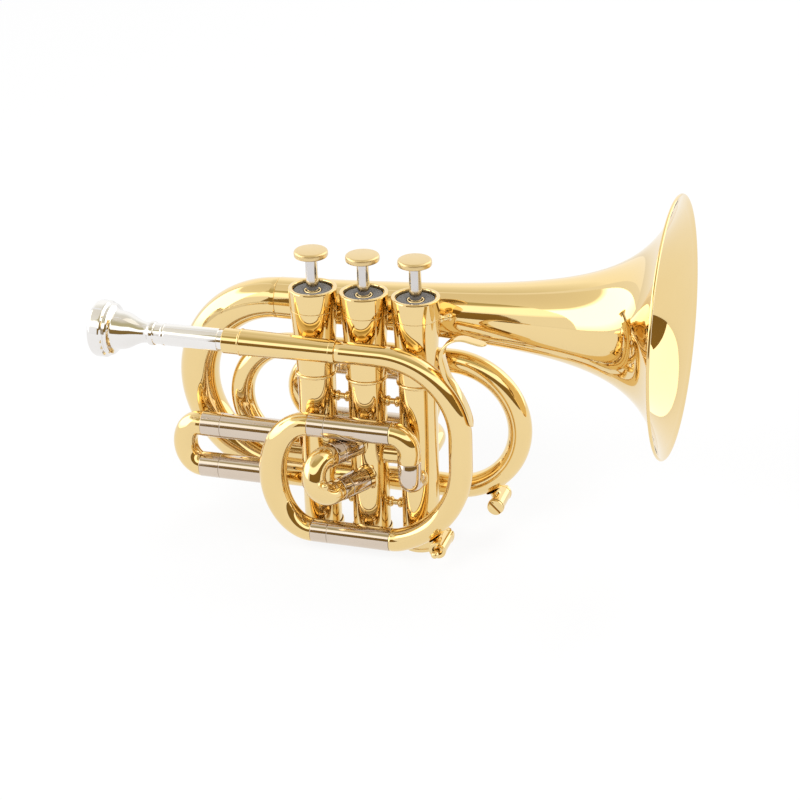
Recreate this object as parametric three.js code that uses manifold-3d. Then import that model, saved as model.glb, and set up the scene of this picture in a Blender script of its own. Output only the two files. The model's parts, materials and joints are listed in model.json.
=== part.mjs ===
// A pocket trumpet: three piston valves, four pull slides, a looped leadpipe and a looped bell.
// Millimetres. X runs from the mouthpiece towards the bell, Y towards the player's left, Z up.
// The origin is the centre of the middle valve's bottom cap, on its underside.

import * as THREE from 'three';
import { mergeVertices } from 'three/addons/utils/BufferGeometryUtils.js';
import Module from 'manifold-3d';

const wasm = await Module();
wasm.setup();

// Fits
const seatGap = 0.3;
const slideGap = 0.3;
const weldDistance = 0.001;

// Facets
const valveSides = 16;
const tubeSides = 12;
const boreSides = 8;
const slideSides = 12;
const bellSides = 24;
const smallSides = 10;
const bendStepDegrees = 15;

// Valve casings
const valvePitch = 26;
const casingRadius = 9.5;
const casingWall = 0.9;
const waistHeight = 90.4;
const waistBeadProud = 0.75;
const waistBeadHeight = 1.2;
const flareFootRadius = 9.6;
const flareTopRadius = 11.5;
const springChamberRadius = 9.1;
const neckRadius = 10.3;

// Top caps
const capRimAboveLeadpipe = 25.2;
const topCapHeight = 10.3;
const topCapRadius = 11.9;
const topCapFootRadius = 11.6;
const capRecessRadius = 9.8;
const capRimRound = 0.6;
const recessDepth = 1.6;
const feltThickness = 1.7;
const capWebThickness = 1.4;
const stemHoleGap = 0.5;
const stemBushRadius = 4.9;

// Bottom caps
const bottomCapHeight = 8;
const bottomCapRadius = 10.4;
const bottomCapFloor = 2;
const bottomCapEdge = 0.5;
const ventRadius = 2.5;

// Pistons, stems and buttons
const valveStroke = 17;
const pistonFootClearance = 2;
const pistonWall = 0.9;
const pistonDeck = 1.6;
const barrelRadius = 8;
const barrelWall = 1;
const passageRadius = 4.3;
const passageWall = 0.6;
const passageSteps = 5;
const stemRadius = 3;
const stemFlangeRadius = 7.8;
const stemFlangeThickness = 1.5;
const buttonRadius = 8.25;
const buttonThickness = 3.3;
const buttonRound = 0.8;

// Valve guides and springs
const guideClearOfWaist = 0.6;
const guideThickness = 2.3;
const guideBarWidth = 3;
const guideHubRadius = 6.3;
const guideHoleRadius = 3.4;
const guideRoom = 3;
const springRadius = 5.2;
const springWire = 0.5;
const springTurns = 7;
const springStepsPerTurn = 7;
const springSides = 4;

// Tubes
const slideRadius = 5.85;
const slideWall = 0.6;
const legWall = 0.55;
const crookRadius = 5.8;
const crookWall = 0.7;
const bowRadius = 6.05;
const bowWall = 0.7;
const knuckleRadius = 5.6;
const knuckleBore = 4.6;

// Port heights on the valves
const inletHeight = 44;
const crossingHeightThreeTwo = 50;
const crossingHeightTwoOne = 35;
const bellPortHeight = 35;
const thirdUpperPortHeight = 62;

// Leadpipe and main tuning slide
const inletElbowRadius = 6.5;
const inletStub = 1.2;
const leadpipeHeight = 109.8;
const leadpipeStartRadius = 5.3;
const leadpipeEndRadius = 5.8;
const leadpipeWall = 0.7;
const leadpipeBend = 39;
const leadpipeReach = 52;
const leadpipeLowerEnd = 15.5;
const leadpipeLowerBend = 47;
const leadpipeToeDegrees = 20;
const tuningUpperHeight = 69.2;
const tuningLowerHeight = 10.3;
const tuningBend = 19.5;
const tuningFerruleStart = -27;
const tuningFerruleLength = 8.5;
const downElbowRadius = 10.5;
const downElbowJoint = 52.5;
const tuningEngagement = 0.93;

// Mouthpiece receiver
const receiverStart = -68.7;
const receiverEnd = -11.9;
const receiverMouthRadius = 6.25;
const receiverRingRadius = 6.75;
const receiverRingStart = 8.3;
const receiverRingWidth = 0.8;
const receiverThickRadius = 6.45;
const receiverThinRadius = 5.75;
const receiverCollarRadius = 6;
const receiverCollarLength = 3;
const venturiRadius = 4.1;

// Mouthpiece
const mouthpieceLength = 88;
const mouthpieceVisible = 65.5;
const rimRadius = 14.1;
const rimBandLength = 8;
const rimBeadRadius = 13.4;
const cupRadius = 8.2;
const cupDepth = 10.5;
const throatRadius = 1.85;
const neckOuterRadius = 5.1;
const neckBeadRadius = 6.3;
const shankThinRadius = 5.2;
const shankThickRadius = 5.65;
const shankPlugRadius = 5;
const shankTipRadius = 4.65;
const backboreRadius = 3.9;

// First valve slide
const firstUpperHeight = 53.9;
const firstLowerHeight = 30.7;
const firstBend = 7.5;
const firstFerruleStart = -91.7;
const firstFerruleLength = 11.3;
const firstKnuckleEnd = -44.7;
const firstLegLength = 26;

// Second valve slide
const secondBearingDegrees = 240;
const secondUpperOffset = 1.5;
const secondLowerOffset = 6;
const secondUpperHeight = 57.1;
const secondLowerHeight = 39.5;
const secondKnuckleReach = 9.6;
const secondOuterLength = 10.9;
const secondFerruleLength = 5;
const secondLegLength = 10;
const secondCrookStraight = 4.2;
const knobBallRadius = 1.9;
const knobNeckRadius = 1.1;
const knobLength = 2;

// Third valve slide
const thirdSetOff = 11;
const thirdUpperBelowBow = 12.7;
const thirdLowerHeight = 46.7;
const thirdBend = 15.8;
const thirdFerruleStart = -33.5;
const thirdFerruleLength = 8.5;
const thirdOuterLength = 32;
const thirdLegLength = 24;
const thirdElbowRadius = 12;

// Bell and its loop
const bellRimRadius = 62.9;
const bellRimBead = 0.8;
const bellRimEnd = 146.2;
const bellThroatRadius = 6.58;
const bellFlareReach = 25.4;
const bellFlarePower = 1.232;
const bellWall = 0.8;
const bellTailStart = -52.5;
const bellTailHeight = 116.2;
const bellTiltDegrees = 1.06;
const bellClearance = 0.7;
const bellRings = 13;
const bellRingSpacingPower = 2.3;
const bowTailRadius = 10.2;
const bowMouthRadius = 6.9;
const lowerBowHeight = 21.5;
const upperBowBelowTail = 25.2;
const frontBowCentre = 35.9;
const lowerFerrule = -4;
const lowerFerruleLength = 10;
const ferruleProud = 0.7;
const upperFerrule = -13;
const rearInnerBowCentre = -45;
const tailElbowRadius = 8.5;
const tailStub = 2.5;

// Posts, braces and hook
const postRadius = 1.5;
const postBeadRadius = 2.7;
const upperPostHeight = 78;
const lowerPostHeight = 22;
const padRadius = 2.4;
const bellBraceBelowRim = 13.7;
const bellBraceBearingDegrees = 35;
const bellBraceLength = 10;
const bellBraceBead = 2;
const bellBraceWaist = 1.3;
const thirdBraceX = -8;
const fingerRingX = -12;
const fingerRingRadius = 9.5;
const fingerRingWire = 1.3;
const fingerRingSteps = 18;
const hookWidth = 6;
const hookThickness = 1;
const hookFootStartDegrees = 18;
const hookFootEndDegrees = 46;
const hookArchForward = 2;
const hookArchRise = 3.1;
const hookArchRadius = 10.4;
const hookArchStartDegrees = 205;
const hookArchEndDegrees = 74;
const hookTail = 9;

// Water keys
const keyBarrelRadius = 4.3;
const keyBarrelLength = 16;
const keyBore = 2.6;
const keySeat = 1.5;
const keySaddleRadius = 2.8;
const leadpipeKeyGap = -0.3;
const frontBowKeyGap = 1.4;
const keyTravel = 2.5;
const keyButtonRadius = 1.9;
const keyButtonNeck = 1.3;
const keyScrewHead = 3.6;
const keyScrewThickness = 1.2;
const keyScrewShank = 3;
const keySlotWidth = 0.9;
const keySlotDepth = 0.6;
const leadpipeKeyDegrees = -50;
const frontBowKeyDegrees = -59;

// Places that follow from the sizes above
const casingBore = casingRadius - casingWall;
const pistonRadius = casingBore - slideGap;
const capRimHeight = leadpipeHeight + capRimAboveLeadpipe;
const bellBraceHeight = capRimHeight - bellBraceBelowRim;
const feltTop = capRimHeight - recessDepth;
const capWebTop = feltTop - feltThickness - seatGap;
const capWebFoot = capWebTop - capWebThickness;
const topCapFoot = capRimHeight - topCapHeight;
const casingFoot = bottomCapFloor + seatGap;
const guideFoot = waistHeight + guideClearOfWaist;
const guideTop = guideFoot + guideThickness;
const flangeFoot = capWebFoot - seatGap - stemFlangeThickness;
const pistonFoot = bottomCapFloor + pistonFootClearance + valveStroke;
const portSectionTop = guideFoot - guideRoom;
const buttonFoot = feltTop + seatGap + valveStroke;
const buttonTop = buttonFoot + buttonThickness;
const slideBore = slideRadius - slideWall;
const legRadius = slideBore - slideGap;
const legBore = legRadius - legWall;
const leadpipePlane = -(casingRadius + inletStub + seatGap + inletElbowRadius);
const bellTilt = THREE.MathUtils.degToRad(bellTiltDegrees);
const bellLength = (bellRimEnd - bellTailStart) / Math.cos(bellTilt);
const bellPlane = flareTopRadius + bellRadiusAt(bellLength * bellShareAtValveThree()) + bellClearance;
const thirdPlane = bellPlane + thirdSetOff;
const upperBowHeight = bellTailHeight - upperBowBelowTail;
const thirdUpperHeight = upperBowHeight - thirdUpperBelowBow;
const rearBowBend = (bellTailHeight - lowerBowHeight) / (1 + Math.cos(bellTilt));
const frontBowBend = (upperBowHeight - lowerBowHeight) / 2;
const thirdPortFall = Math.atan2(thirdUpperHeight - thirdUpperPortHeight, thirdPlane - casingBore);

const lacquerBrass = material(0xe3bf6a, 0.16, 1);
const nickelSilver = material(0xc9c2ba, 0.2, 1);
const silverPlate = material(0xe6e4e2, 0.12, 1);
const springSteel = material(0x8f9296, 0.35, 1);
const felt = material(0x3a3a3c, 0.95, 0);

function material(color, roughness, metalness) {
  return new THREE.MeshStandardMaterial({ color, roughness, metalness });
}

function at(x, y, z) {
  return new THREE.Vector3(x, y, z);
}

function bearingVector(degrees) {
  const angle = THREE.MathUtils.degToRad(degrees);
  return at(Math.cos(angle), Math.sin(angle), 0);
}

// The bell's outer radius at a distance back from its rim
function bellRadiusAt(distance) {
  const opening = Math.pow(bellFlareReach / (bellFlareReach + distance), bellFlarePower);
  return bellThroatRadius + (bellRimRadius - bellThroatRadius) * opening;
}

// How far back from the rim the bell passes the third valve, as a share of its length
function bellShareAtValveThree() {
  return (bellRimEnd - valvePitch) / (bellRimEnd - bellTailStart);
}

// Welded geometry keeps only positions, one vertex per corner and no empty triangles
function weld(geometry) {
  const bare = new THREE.BufferGeometry();
  bare.setAttribute('position', geometry.getAttribute('position').clone());
  bare.setIndex(geometry.getIndex());
  const merged = mergeVertices(bare, weldDistance);
  const corners = merged.getIndex().array;
  const kept = [];
  for (let i = 0; i < corners.length; i += 3) {
    const [a, b, c] = [corners[i], corners[i + 1], corners[i + 2]];
    if (a !== b && b !== c && c !== a) {
      kept.push(a, b, c);
    }
  }
  merged.setIndex(kept);
  return merged;
}

function solid(geometry) {
  const welded = weld(geometry);
  const vertProperties = welded.getAttribute('position').array;
  const triVerts = new Uint32Array(welded.getIndex().array);
  return new wasm.Manifold(new wasm.Mesh({ numProp: 3, vertProperties, triVerts }));
}

function surface(manifold) {
  const mesh = manifold.getMesh();
  const geometry = new THREE.BufferGeometry();
  geometry.setAttribute('position', new THREE.BufferAttribute(mesh.vertProperties, 3));
  geometry.setIndex(new THREE.BufferAttribute(mesh.triVerts, 1));
  geometry.computeVertexNormals();
  return geometry;
}

// Adds some geometries to a body, then cuts others out of it
function fuseAndCut(body, added, removed) {
  let result = solid(body);
  for (const geometry of added) {
    result = result.add(solid(geometry));
  }
  for (const geometry of removed) {
    result = result.subtract(solid(geometry));
  }
  return surface(result);
}

// A piece turned about Z from [radius, height] points, listed anticlockwise with radius to the right
function turned(points, sides) {
  const outline = points.map(([radius, height]) => new THREE.Vector2(radius, height));
  const onAxis = points[0][0] === 0 && points[points.length - 1][0] === 0;
  if (!onAxis) {
    outline.push(outline[0].clone());
  }
  return weld(new THREE.LatheGeometry(outline, sides).rotateX(Math.PI / 2));
}

function rod(radius, from, to, sides) {
  const length = from.distanceTo(to);
  return aimed(turned([[0, 0], [radius, 0], [radius, length], [0, length]], sides), from, to);
}

// Turns a geometry's Z axis towards a point and stands its origin on another
function aimed(geometry, from, to) {
  const direction = to.clone().sub(from).normalize();
  const turn = new THREE.Quaternion().setFromUnitVectors(at(0, 0, 1), direction);
  return geometry.clone().applyQuaternion(turn).translate(from.x, from.y, from.z);
}

// A tube's centre line, made of straight runs and bends
class Route {
  constructor(start, heading) {
    this.point = start.clone();
    this.heading = heading.clone().normalize();
    this.travelled = 0;
    this.stations = [];
    this.mark();
  }

  mark() {
    const { point, heading, travelled } = this;
    this.stations.push({ point: point.clone(), tangent: heading.clone(), travelled });
  }

  run(length) {
    this.point.addScaledVector(this.heading, length);
    this.travelled += length;
    this.mark();
    return this;
  }

  bend(radius, degrees, towards) {
    const steps = Math.ceil(degrees / bendStepDegrees);
    const inward = towards.clone().normalize();
    const start = this.heading.clone();
    const centre = this.point.clone().addScaledVector(inward, radius);
    const full = THREE.MathUtils.degToRad(degrees);
    const before = this.travelled;
    for (let step = 1; step <= steps; step += 1) {
      const angle = full * step / steps;
      this.point.copy(centre);
      this.point.addScaledVector(inward, -radius * Math.cos(angle));
      this.point.addScaledVector(start, radius * Math.sin(angle));
      this.heading.copy(start).multiplyScalar(Math.cos(angle)).addScaledVector(inward, Math.sin(angle));
      this.travelled = before + radius * angle;
      this.mark();
    }
    return this;
  }
}

// A curve that steps from one station of a route to the next
class CentreLine extends THREE.Curve {
  constructor(stations) {
    super();
    this.stations = stations;
  }

  stationAt(share) {
    return this.stations[Math.round(share * (this.stations.length - 1))];
  }

  getPointAt(share, target = new THREE.Vector3()) {
    return target.copy(this.stationAt(share).point);
  }

  getTangentAt(share, target = new THREE.Vector3()) {
    return target.copy(this.stationAt(share).tangent);
  }
}

function circlePoints(radius, sides) {
  const points = [];
  for (let side = 0; side < sides; side += 1) {
    const angle = 2 * Math.PI * side / sides;
    points.push(new THREE.Vector2(radius * Math.cos(angle), radius * Math.sin(angle)));
  }
  return points;
}

function swept(route, shape) {
  const extrudePath = new CentreLine(route.stations);
  return weld(new THREE.ExtrudeGeometry(shape, { steps: route.stations.length - 1, extrudePath }));
}

// A bent bar of one radius
function bentBar(route, radius, sides) {
  return swept(route, new THREE.Shape(circlePoints(radius, sides)));
}

// A bent tube of one radius, open at both ends
function bentTube(route, radius, wall) {
  const shape = new THREE.Shape(circlePoints(radius, tubeSides));
  shape.holes.push(new THREE.Path(circlePoints(radius - wall, boreSides)));
  return swept(route, shape);
}

// A bent tube whose outer radius changes with the distance travelled, open at both ends
function taperedTube(route, radiusAt, wall, sides) {
  const { stations } = route;
  const last = stations.length - 1;
  const outer = stations.map((station, step) => new THREE.Vector2(radiusAt(station.travelled), step));
  const inner = stations.map((station, step) => new THREE.Vector2(radiusAt(station.travelled) - wall, step));
  const outline = [...outer, ...inner.reverse(), outer[0].clone()];
  const geometry = new THREE.LatheGeometry(outline, sides);
  const frames = new CentreLine(stations).computeFrenetFrames(last, false);
  const position = geometry.getAttribute('position');
  for (let i = 0; i < position.count; i += 1) {
    const step = Math.round(position.getY(i));
    const point = stations[step].point.clone();
    point.addScaledVector(frames.normals[step], position.getX(i));
    point.addScaledVector(frames.binormals[step], -position.getZ(i));
    position.setXYZ(i, point.x, point.y, point.z);
  }
  return weld(geometry);
}

function blend(from, to, share) {
  return from + (to - from) * share;
}

const trumpet = new THREE.Group();

function piece(name, geometry, finish, parent = trumpet) {
  const mesh = new THREE.Mesh(geometry, finish);
  mesh.name = name;
  parent.add(mesh);
  return mesh;
}

// Places a piece turned about Z so that its foot is at one point and it looks towards another
function aimPiece(mesh, from, to) {
  const direction = to.clone().sub(from).normalize();
  mesh.position.copy(from);
  mesh.quaternion.setFromUnitVectors(at(0, 0, 1), direction);
  return mesh;
}

// A straight slide tube, plain at both ends
function slideTube(length) {
  return turned([[slideBore, 0], [slideRadius, 0], [slideRadius, length], [slideBore, length]], slideSides);
}

// A slide's inner leg, with the ferrule that joins it to the crook at its foot
function slideLeg(ferruleLength, legLength) {
  const length = ferruleLength + legLength;
  return turned([
    [legBore, 0],
    [slideRadius, 0],
    [slideRadius, ferruleLength],
    [legRadius, ferruleLength],
    [legRadius, length],
    [legBore, length],
  ], slideSides);
}

// A post with a bead at each end and a narrow waist
function spool(length, waist = postRadius, bead = postBeadRadius) {
  const footShares = [0, 0.12, 0.3, 0.42];
  const beadRadii = [waist, bead, bead, waist];
  const foot = footShares.map((share, i) => [beadRadii[i], share * length]);
  const head = foot.map(([radius, height]) => [radius, length - height]).reverse();
  return turned([[0, 0], ...foot, ...head, [0, length]], smallSides);
}

// A port is a tube that meets a valve: its bearing, height at the bore, sideways offset and fall inwards
function port(bearing, height, offset = 0, fall = 0) {
  return { bearing, height, offset, fall };
}

// The point on a port's centre line at a distance from the valve's axis, measured along the bearing
function portPoint(place, distance) {
  const outward = bearingVector(place.bearing);
  const sideways = bearingVector(place.bearing + 90);
  const mouth = Math.sqrt(casingBore * casingBore - place.offset * place.offset);
  const height = place.height + (distance - mouth) * Math.tan(place.fall);
  const point = outward.multiplyScalar(distance).addScaledVector(sideways, place.offset);
  return point.setZ(height);
}

function portMouth(place, rise, distance) {
  const shallow = Math.sqrt(distance * distance - place.offset * place.offset);
  const point = portPoint(place, shallow);
  return point.setZ(point.z + rise);
}

const inletPort = port(270, inletHeight);
const threeOutPort = port(180, crossingHeightThreeTwo);
const thirdLowerPort = port(90, thirdLowerHeight);
const thirdUpperPort = port(90, thirdUpperPortHeight, 0, thirdPortFall);
const twoInPort = port(0, crossingHeightThreeTwo);
const twoOutPort = port(180, crossingHeightTwoOne);
const secondUpperPort = port(secondBearingDegrees, secondUpperHeight, secondUpperOffset);
const secondLowerPort = port(secondBearingDegrees, secondLowerHeight, secondLowerOffset);
const oneInPort = port(0, crossingHeightTwoOne);
const firstUpperPort = port(180, firstUpperHeight);
const firstLowerPort = port(180, firstLowerHeight);
const bellPort = port(90, bellPortHeight);

// A straight knuckle on a casing and its bore, out to a distance from the valve's axis
function knuckle(place, reach, radius) {
  return rod(radius, portPoint(place, 0), portPoint(place, reach), tubeSides);
}

function casingOutside() {
  const beadFoot = waistHeight - waistBeadHeight / 2;
  const beadTop = waistHeight + waistBeadHeight / 2;
  const shoulder = topCapFoot - seatGap;
  return turned([
    [0, casingFoot],
    [casingRadius, casingFoot],
    [casingRadius, beadFoot],
    [casingRadius + waistBeadProud, beadFoot],
    [casingRadius + waistBeadProud, beadTop],
    [flareFootRadius, beadTop],
    [flareTopRadius, shoulder],
    [neckRadius, shoulder],
    [neckRadius, capWebFoot - seatGap],
    [0, capWebFoot - seatGap],
  ], valveSides);
}

function casingInside() {
  const cutFoot = casingFoot - casingWall;
  const cutTop = capWebFoot + casingWall;
  const ledge = guideFoot - seatGap;
  return turned([
    [0, cutFoot],
    [casingBore, cutFoot],
    [casingBore, ledge],
    [springChamberRadius, ledge],
    [springChamberRadius, cutTop],
    [0, cutTop],
  ], valveSides);
}

// The guide is a ring on a bar across the casing, which keys the piston and carries the spring
function valveGuide() {
  const reach = springChamberRadius + casingWall / 2;
  const bar = new THREE.BoxGeometry(guideBarWidth, 2 * reach, guideThickness);
  bar.translate(0, 0, guideFoot + guideThickness / 2);
  const hub = rod(guideHubRadius, at(0, 0, guideFoot), at(0, 0, guideTop), smallSides);
  const holeFoot = at(0, 0, guideFoot - casingWall);
  const hole = rod(guideHoleRadius, holeFoot, at(0, 0, guideTop + casingWall), smallSides);
  return fuseAndCut(bar, [hub], [hole]);
}

function flareRadiusAt(height) {
  const share = (height - waistHeight) / (topCapFoot - waistHeight);
  return blend(flareFootRadius, flareTopRadius, share);
}

// A casing with its knuckles: added bodies and cut bores are given in the valve's own frame
function valveCasing(added, removed) {
  const outside = fuseAndCut(casingOutside(), added, [casingInside(), ...removed]);
  return fuseAndCut(outside, [valveGuide()], []);
}

function bottomCap() {
  const skirt = casingRadius + seatGap;
  return turned([
    [ventRadius, 0],
    [bottomCapRadius - bottomCapEdge, 0],
    [bottomCapRadius, bottomCapEdge],
    [bottomCapRadius, bottomCapHeight],
    [skirt, bottomCapHeight],
    [skirt, bottomCapFloor],
    [ventRadius, bottomCapFloor],
  ], valveSides);
}

function topCap() {
  const skirt = neckRadius + seatGap;
  const hole = stemRadius + stemHoleGap;
  return turned([
    [hole, capWebFoot],
    [skirt, capWebFoot],
    [skirt, topCapFoot],
    [topCapFootRadius, topCapFoot],
    [topCapRadius, capRimHeight - capRimRound],
    [topCapRadius - capRimRound, capRimHeight],
    [capRecessRadius, capRimHeight],
    [capRecessRadius, capWebTop],
    [stemBushRadius, capWebTop],
    [stemBushRadius, feltTop],
    [hole, feltTop],
  ], valveSides);
}

function capFelt() {
  const foot = capWebTop + seatGap;
  const inner = stemBushRadius + seatGap;
  const outer = capRecessRadius - seatGap;
  return turned([[inner, foot], [outer, foot], [outer, feltTop], [inner, feltTop]], valveSides);
}

// A piston: a thin shell crossed by its passage tubes, below a slotted spring barrel
function piston(passages) {
  const shellBore = pistonRadius - pistonWall;
  const deckFoot = portSectionTop - pistonDeck;
  const barrelTop = flangeFoot - seatGap;
  const shell = turned([
    [shellBore, pistonFoot],
    [pistonRadius, pistonFoot],
    [pistonRadius, portSectionTop],
    [barrelRadius, portSectionTop],
    [barrelRadius, barrelTop],
    [barrelRadius - barrelWall, barrelTop],
    [barrelRadius - barrelWall, portSectionTop],
    [0, portSectionTop],
    [0, deckFoot],
    [shellBore, deckFoot],
  ], valveSides);
  const inside = shellBore + pistonWall / 2;
  const core = solid(rod(inside, at(0, 0, pistonFoot), at(0, 0, portSectionTop), valveSides));
  const walls = passages.map((ends) => passage(ends, passageRadius + passageWall));
  const tubes = walls.map((wall) => surface(solid(wall).intersect(core)));
  const slotFoot = guideFoot - seatGap;
  const slotTop = guideTop + valveStroke + seatGap;
  const slotWidth = guideBarWidth + 2 * slideGap;
  const slot = new THREE.BoxGeometry(slotWidth, 2 * casingRadius, slotTop - slotFoot);
  slot.translate(0, 0, (slotFoot + slotTop) / 2);
  const bores = passages.map((ends) => passage(ends, passageRadius));
  return fuseAndCut(shell, tubes, [slot, ...bores]);
}

// A passage between two ports, lifted by a rise: straight across, or an elbow that turns by the valve's axis
function passage([from, to, rise], radius) {
  const start = portMouth(from, rise, casingRadius);
  const end = portMouth(to, rise, casingRadius);
  const straight = Math.hypot(start.x + end.x, start.y + end.y) < seatGap;
  if (straight) {
    return rod(radius, start, end, boreSides);
  }
  const elbow = new THREE.QuadraticBezierCurve3(start, at(0, 0, (start.z + end.z) / 2), end);
  const stations = [];
  for (let step = 0; step <= passageSteps; step += 1) {
    const share = step / passageSteps;
    stations.push({ point: elbow.getPoint(share), tangent: elbow.getTangent(share), travelled: step });
  }
  return bentBar({ stations }, radius, boreSides);
}

function valveStem() {
  const flangeTop = flangeFoot + stemFlangeThickness;
  const stemTop = buttonFoot - seatGap;
  return turned([
    [0, flangeFoot],
    [stemFlangeRadius, flangeFoot],
    [stemFlangeRadius, flangeTop],
    [stemRadius, flangeTop],
    [stemRadius, stemTop],
    [0, stemTop],
  ], smallSides);
}

function fingerButton() {
  return turned([
    [0, buttonFoot],
    [buttonRadius - buttonRound, buttonFoot],
    [buttonRadius, buttonFoot + buttonRound],
    [buttonRadius, buttonTop - buttonRound],
    [buttonRadius - buttonRound, buttonTop],
    [0, buttonTop],
  ], valveSides);
}

// A helical spring that stands on the guide and carries the stem's flange
function valveSpring() {
  const foot = guideTop + seatGap + springWire;
  const head = flangeFoot - seatGap - springWire;
  const steps = springTurns * springStepsPerTurn;
  const climb = (head - foot) / (2 * Math.PI * springTurns);
  const stations = [];
  for (let step = 0; step <= steps; step += 1) {
    const angle = 2 * Math.PI * step / springStepsPerTurn;
    const point = at(springRadius * Math.cos(angle), springRadius * Math.sin(angle), foot + climb * angle);
    const tangent = at(-springRadius * Math.sin(angle), springRadius * Math.cos(angle), climb).normalize();
    stations.push({ point, tangent, travelled: step });
  }
  return bentBar({ stations }, springWire, springSides);
}

const wide = casingRadius + seatGap;

function neighbour(side) {
  const foot = at(side * valvePitch, 0, 0);
  return rod(wide, foot, foot.clone().setZ(capRimHeight), valveSides);
}

const postFrom = casingRadius - casingWall / 2;
const postLength = valvePitch - casingRadius - seatGap - postFrom;

function casingPost(side, height) {
  const start = at(side * postFrom, 0, height);
  return aimed(spool(postLength), start, at(side * valvePitch, 0, height));
}

// A spool from a casing out to a tube that runs along X beyond it
function tubeBrace(height, plane, tubeRadius) {
  const start = at(0, postFrom, height);
  const length = plane - tubeRadius - seatGap - postFrom;
  return aimed(spool(length), start, at(0, plane, height));
}

// A short pad from a casing to a tube on the leadpipe's side
function sidePad(height, tubeRadius) {
  const end = at(0, leadpipePlane + tubeRadius + seatGap, height);
  return rod(padRadius, at(0, -postFrom, height), end, smallSides);
}

// How far the rear bow's straight end has narrowed at a place along X
function lowerBowRadiusAt(x) {
  const share = (x - bellTailStart) / (lowerFerrule - bellTailStart);
  return blend(bowTailRadius, bowMouthRadius, blend(bowTaperShare, 1, share));
}

const bowTaperShare = 0.55;

// The bell's outer shape grown by a gap, so that a brace can be cut to a saddle that fits it
function bellSpace() {
  const tail = at(bellTailStart, bellPlane, bellTailHeight);
  const mouth = tail.clone().add(at(Math.cos(bellTilt), 0, Math.sin(bellTilt)));
  return aimed(turned([[0, 0], ...bellProfile(seatGap), [0, bellLength]], bellSides), tail, mouth);
}

// The brace from the third valve's casing to the bell, in the valve's own frame
function bellBrace() {
  const outward = bearingVector(bellBraceBearingDegrees);
  const skin = flareRadiusAt(bellBraceHeight) - casingWall / 2;
  const start = outward.clone().multiplyScalar(skin).setZ(bellBraceHeight);
  const beaded = spool(bellBraceLength, bellBraceWaist, bellBraceBead);
  const post = aimed(beaded, start, start.clone().add(outward));
  return fuseAndCut(post, [], [bellSpace().translate(-valvePitch, 0, 0)]);
}

function firstCasing() {
  const upper = knuckle(firstUpperPort, -valvePitch - firstKnuckleEnd, knuckleRadius);
  const lower = knuckle(firstLowerPort, -valvePitch - firstKnuckleEnd, knuckleRadius);
  const tail = knuckle(bellPort, casingRadius + tailStub, knuckleRadius);
  const upperBrace = tubeBrace(upperBowHeight, bellPlane, bowRadius);
  const lowerBrace = tubeBrace(lowerBowHeight, bellPlane, lowerBowRadiusAt(-valvePitch));
  const places = [firstUpperPort, firstLowerPort, bellPort, oneInPort];
  const bores = places.map((place) => knuckle(place, valvePitch, knuckleBore));
  return valveCasing([upper, lower, tail, upperBrace, lowerBrace], bores);
}

function secondCasing() {
  const upper = knuckle(secondUpperPort, secondKnuckleReach, knuckleRadius);
  const lower = knuckle(secondLowerPort, secondKnuckleReach, knuckleRadius);
  const crossings = [twoInPort, twoOutPort].map((place) => knuckle(place, valvePitch, knuckleRadius));
  const trimmed = crossings.map((crossing, i) => fuseAndCut(crossing, [], [neighbour(i === 0 ? 1 : -1)]));
  const posts = [];
  for (const side of [-1, 1]) {
    posts.push(casingPost(side, upperPostHeight), casingPost(side, lowerPostHeight));
  }
  const pads = [sidePad(leadpipeHeight, leadpipeStartRadius), sidePad(tuningUpperHeight, slideRadius)];
  const places = [secondUpperPort, secondLowerPort, twoInPort, twoOutPort];
  const bores = places.map((place) => knuckle(place, valvePitch, knuckleBore));
  return valveCasing([upper, lower, ...trimmed, ...posts, ...pads], bores);
}

// The third casing carries the two elbows that lead to its slide
function thirdCasing() {
  const slideEnd = thirdOuterEnd + seatGap - valvePitch;
  const towardsPlayer = at(0, -1, 0);
  const inwardDown = at(0, -Math.cos(thirdPortFall), -Math.sin(thirdPortFall));
  const lead = -slideEnd - thirdElbowRadius;
  const lowerRoute = new Route(at(slideEnd, thirdPlane, thirdLowerHeight), at(1, 0, 0));
  lowerRoute.run(lead).bend(thirdElbowRadius, 90, towardsPlayer).run(thirdPlane - thirdElbowRadius);
  const upperRoute = new Route(at(slideEnd, thirdPlane, thirdUpperHeight), at(1, 0, 0));
  const slope = thirdPlane / Math.cos(thirdPortFall) - thirdElbowRadius;
  upperRoute.run(lead).bend(thirdElbowRadius, 90, inwardDown).run(slope);
  const routes = [lowerRoute, upperRoute];
  const elbows = routes.map((route) => bentBar(route, knuckleRadius, tubeSides));
  const elbowBores = routes.map((route) => bentBar(route, knuckleBore, boreSides));
  const inlet = knuckle(inletPort, casingRadius + inletStub, knuckleRadius);
  const upperBrace = tubeBrace(upperBowHeight, bellPlane, bowRadius);
  const lowerBrace = tubeBrace(lowerBowHeight, bellPlane, bowRadius);
  const bores = [inletPort, threeOutPort].map((place) => knuckle(place, valvePitch, knuckleBore));
  return valveCasing([inlet, ...elbows, upperBrace, lowerBrace, bellBrace()], [...bores, ...elbowBores]);
}

const thirdOuterStart = thirdFerruleStart + thirdFerruleLength + seatGap;
const thirdOuterEnd = thirdOuterStart + thirdOuterLength;

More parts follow.
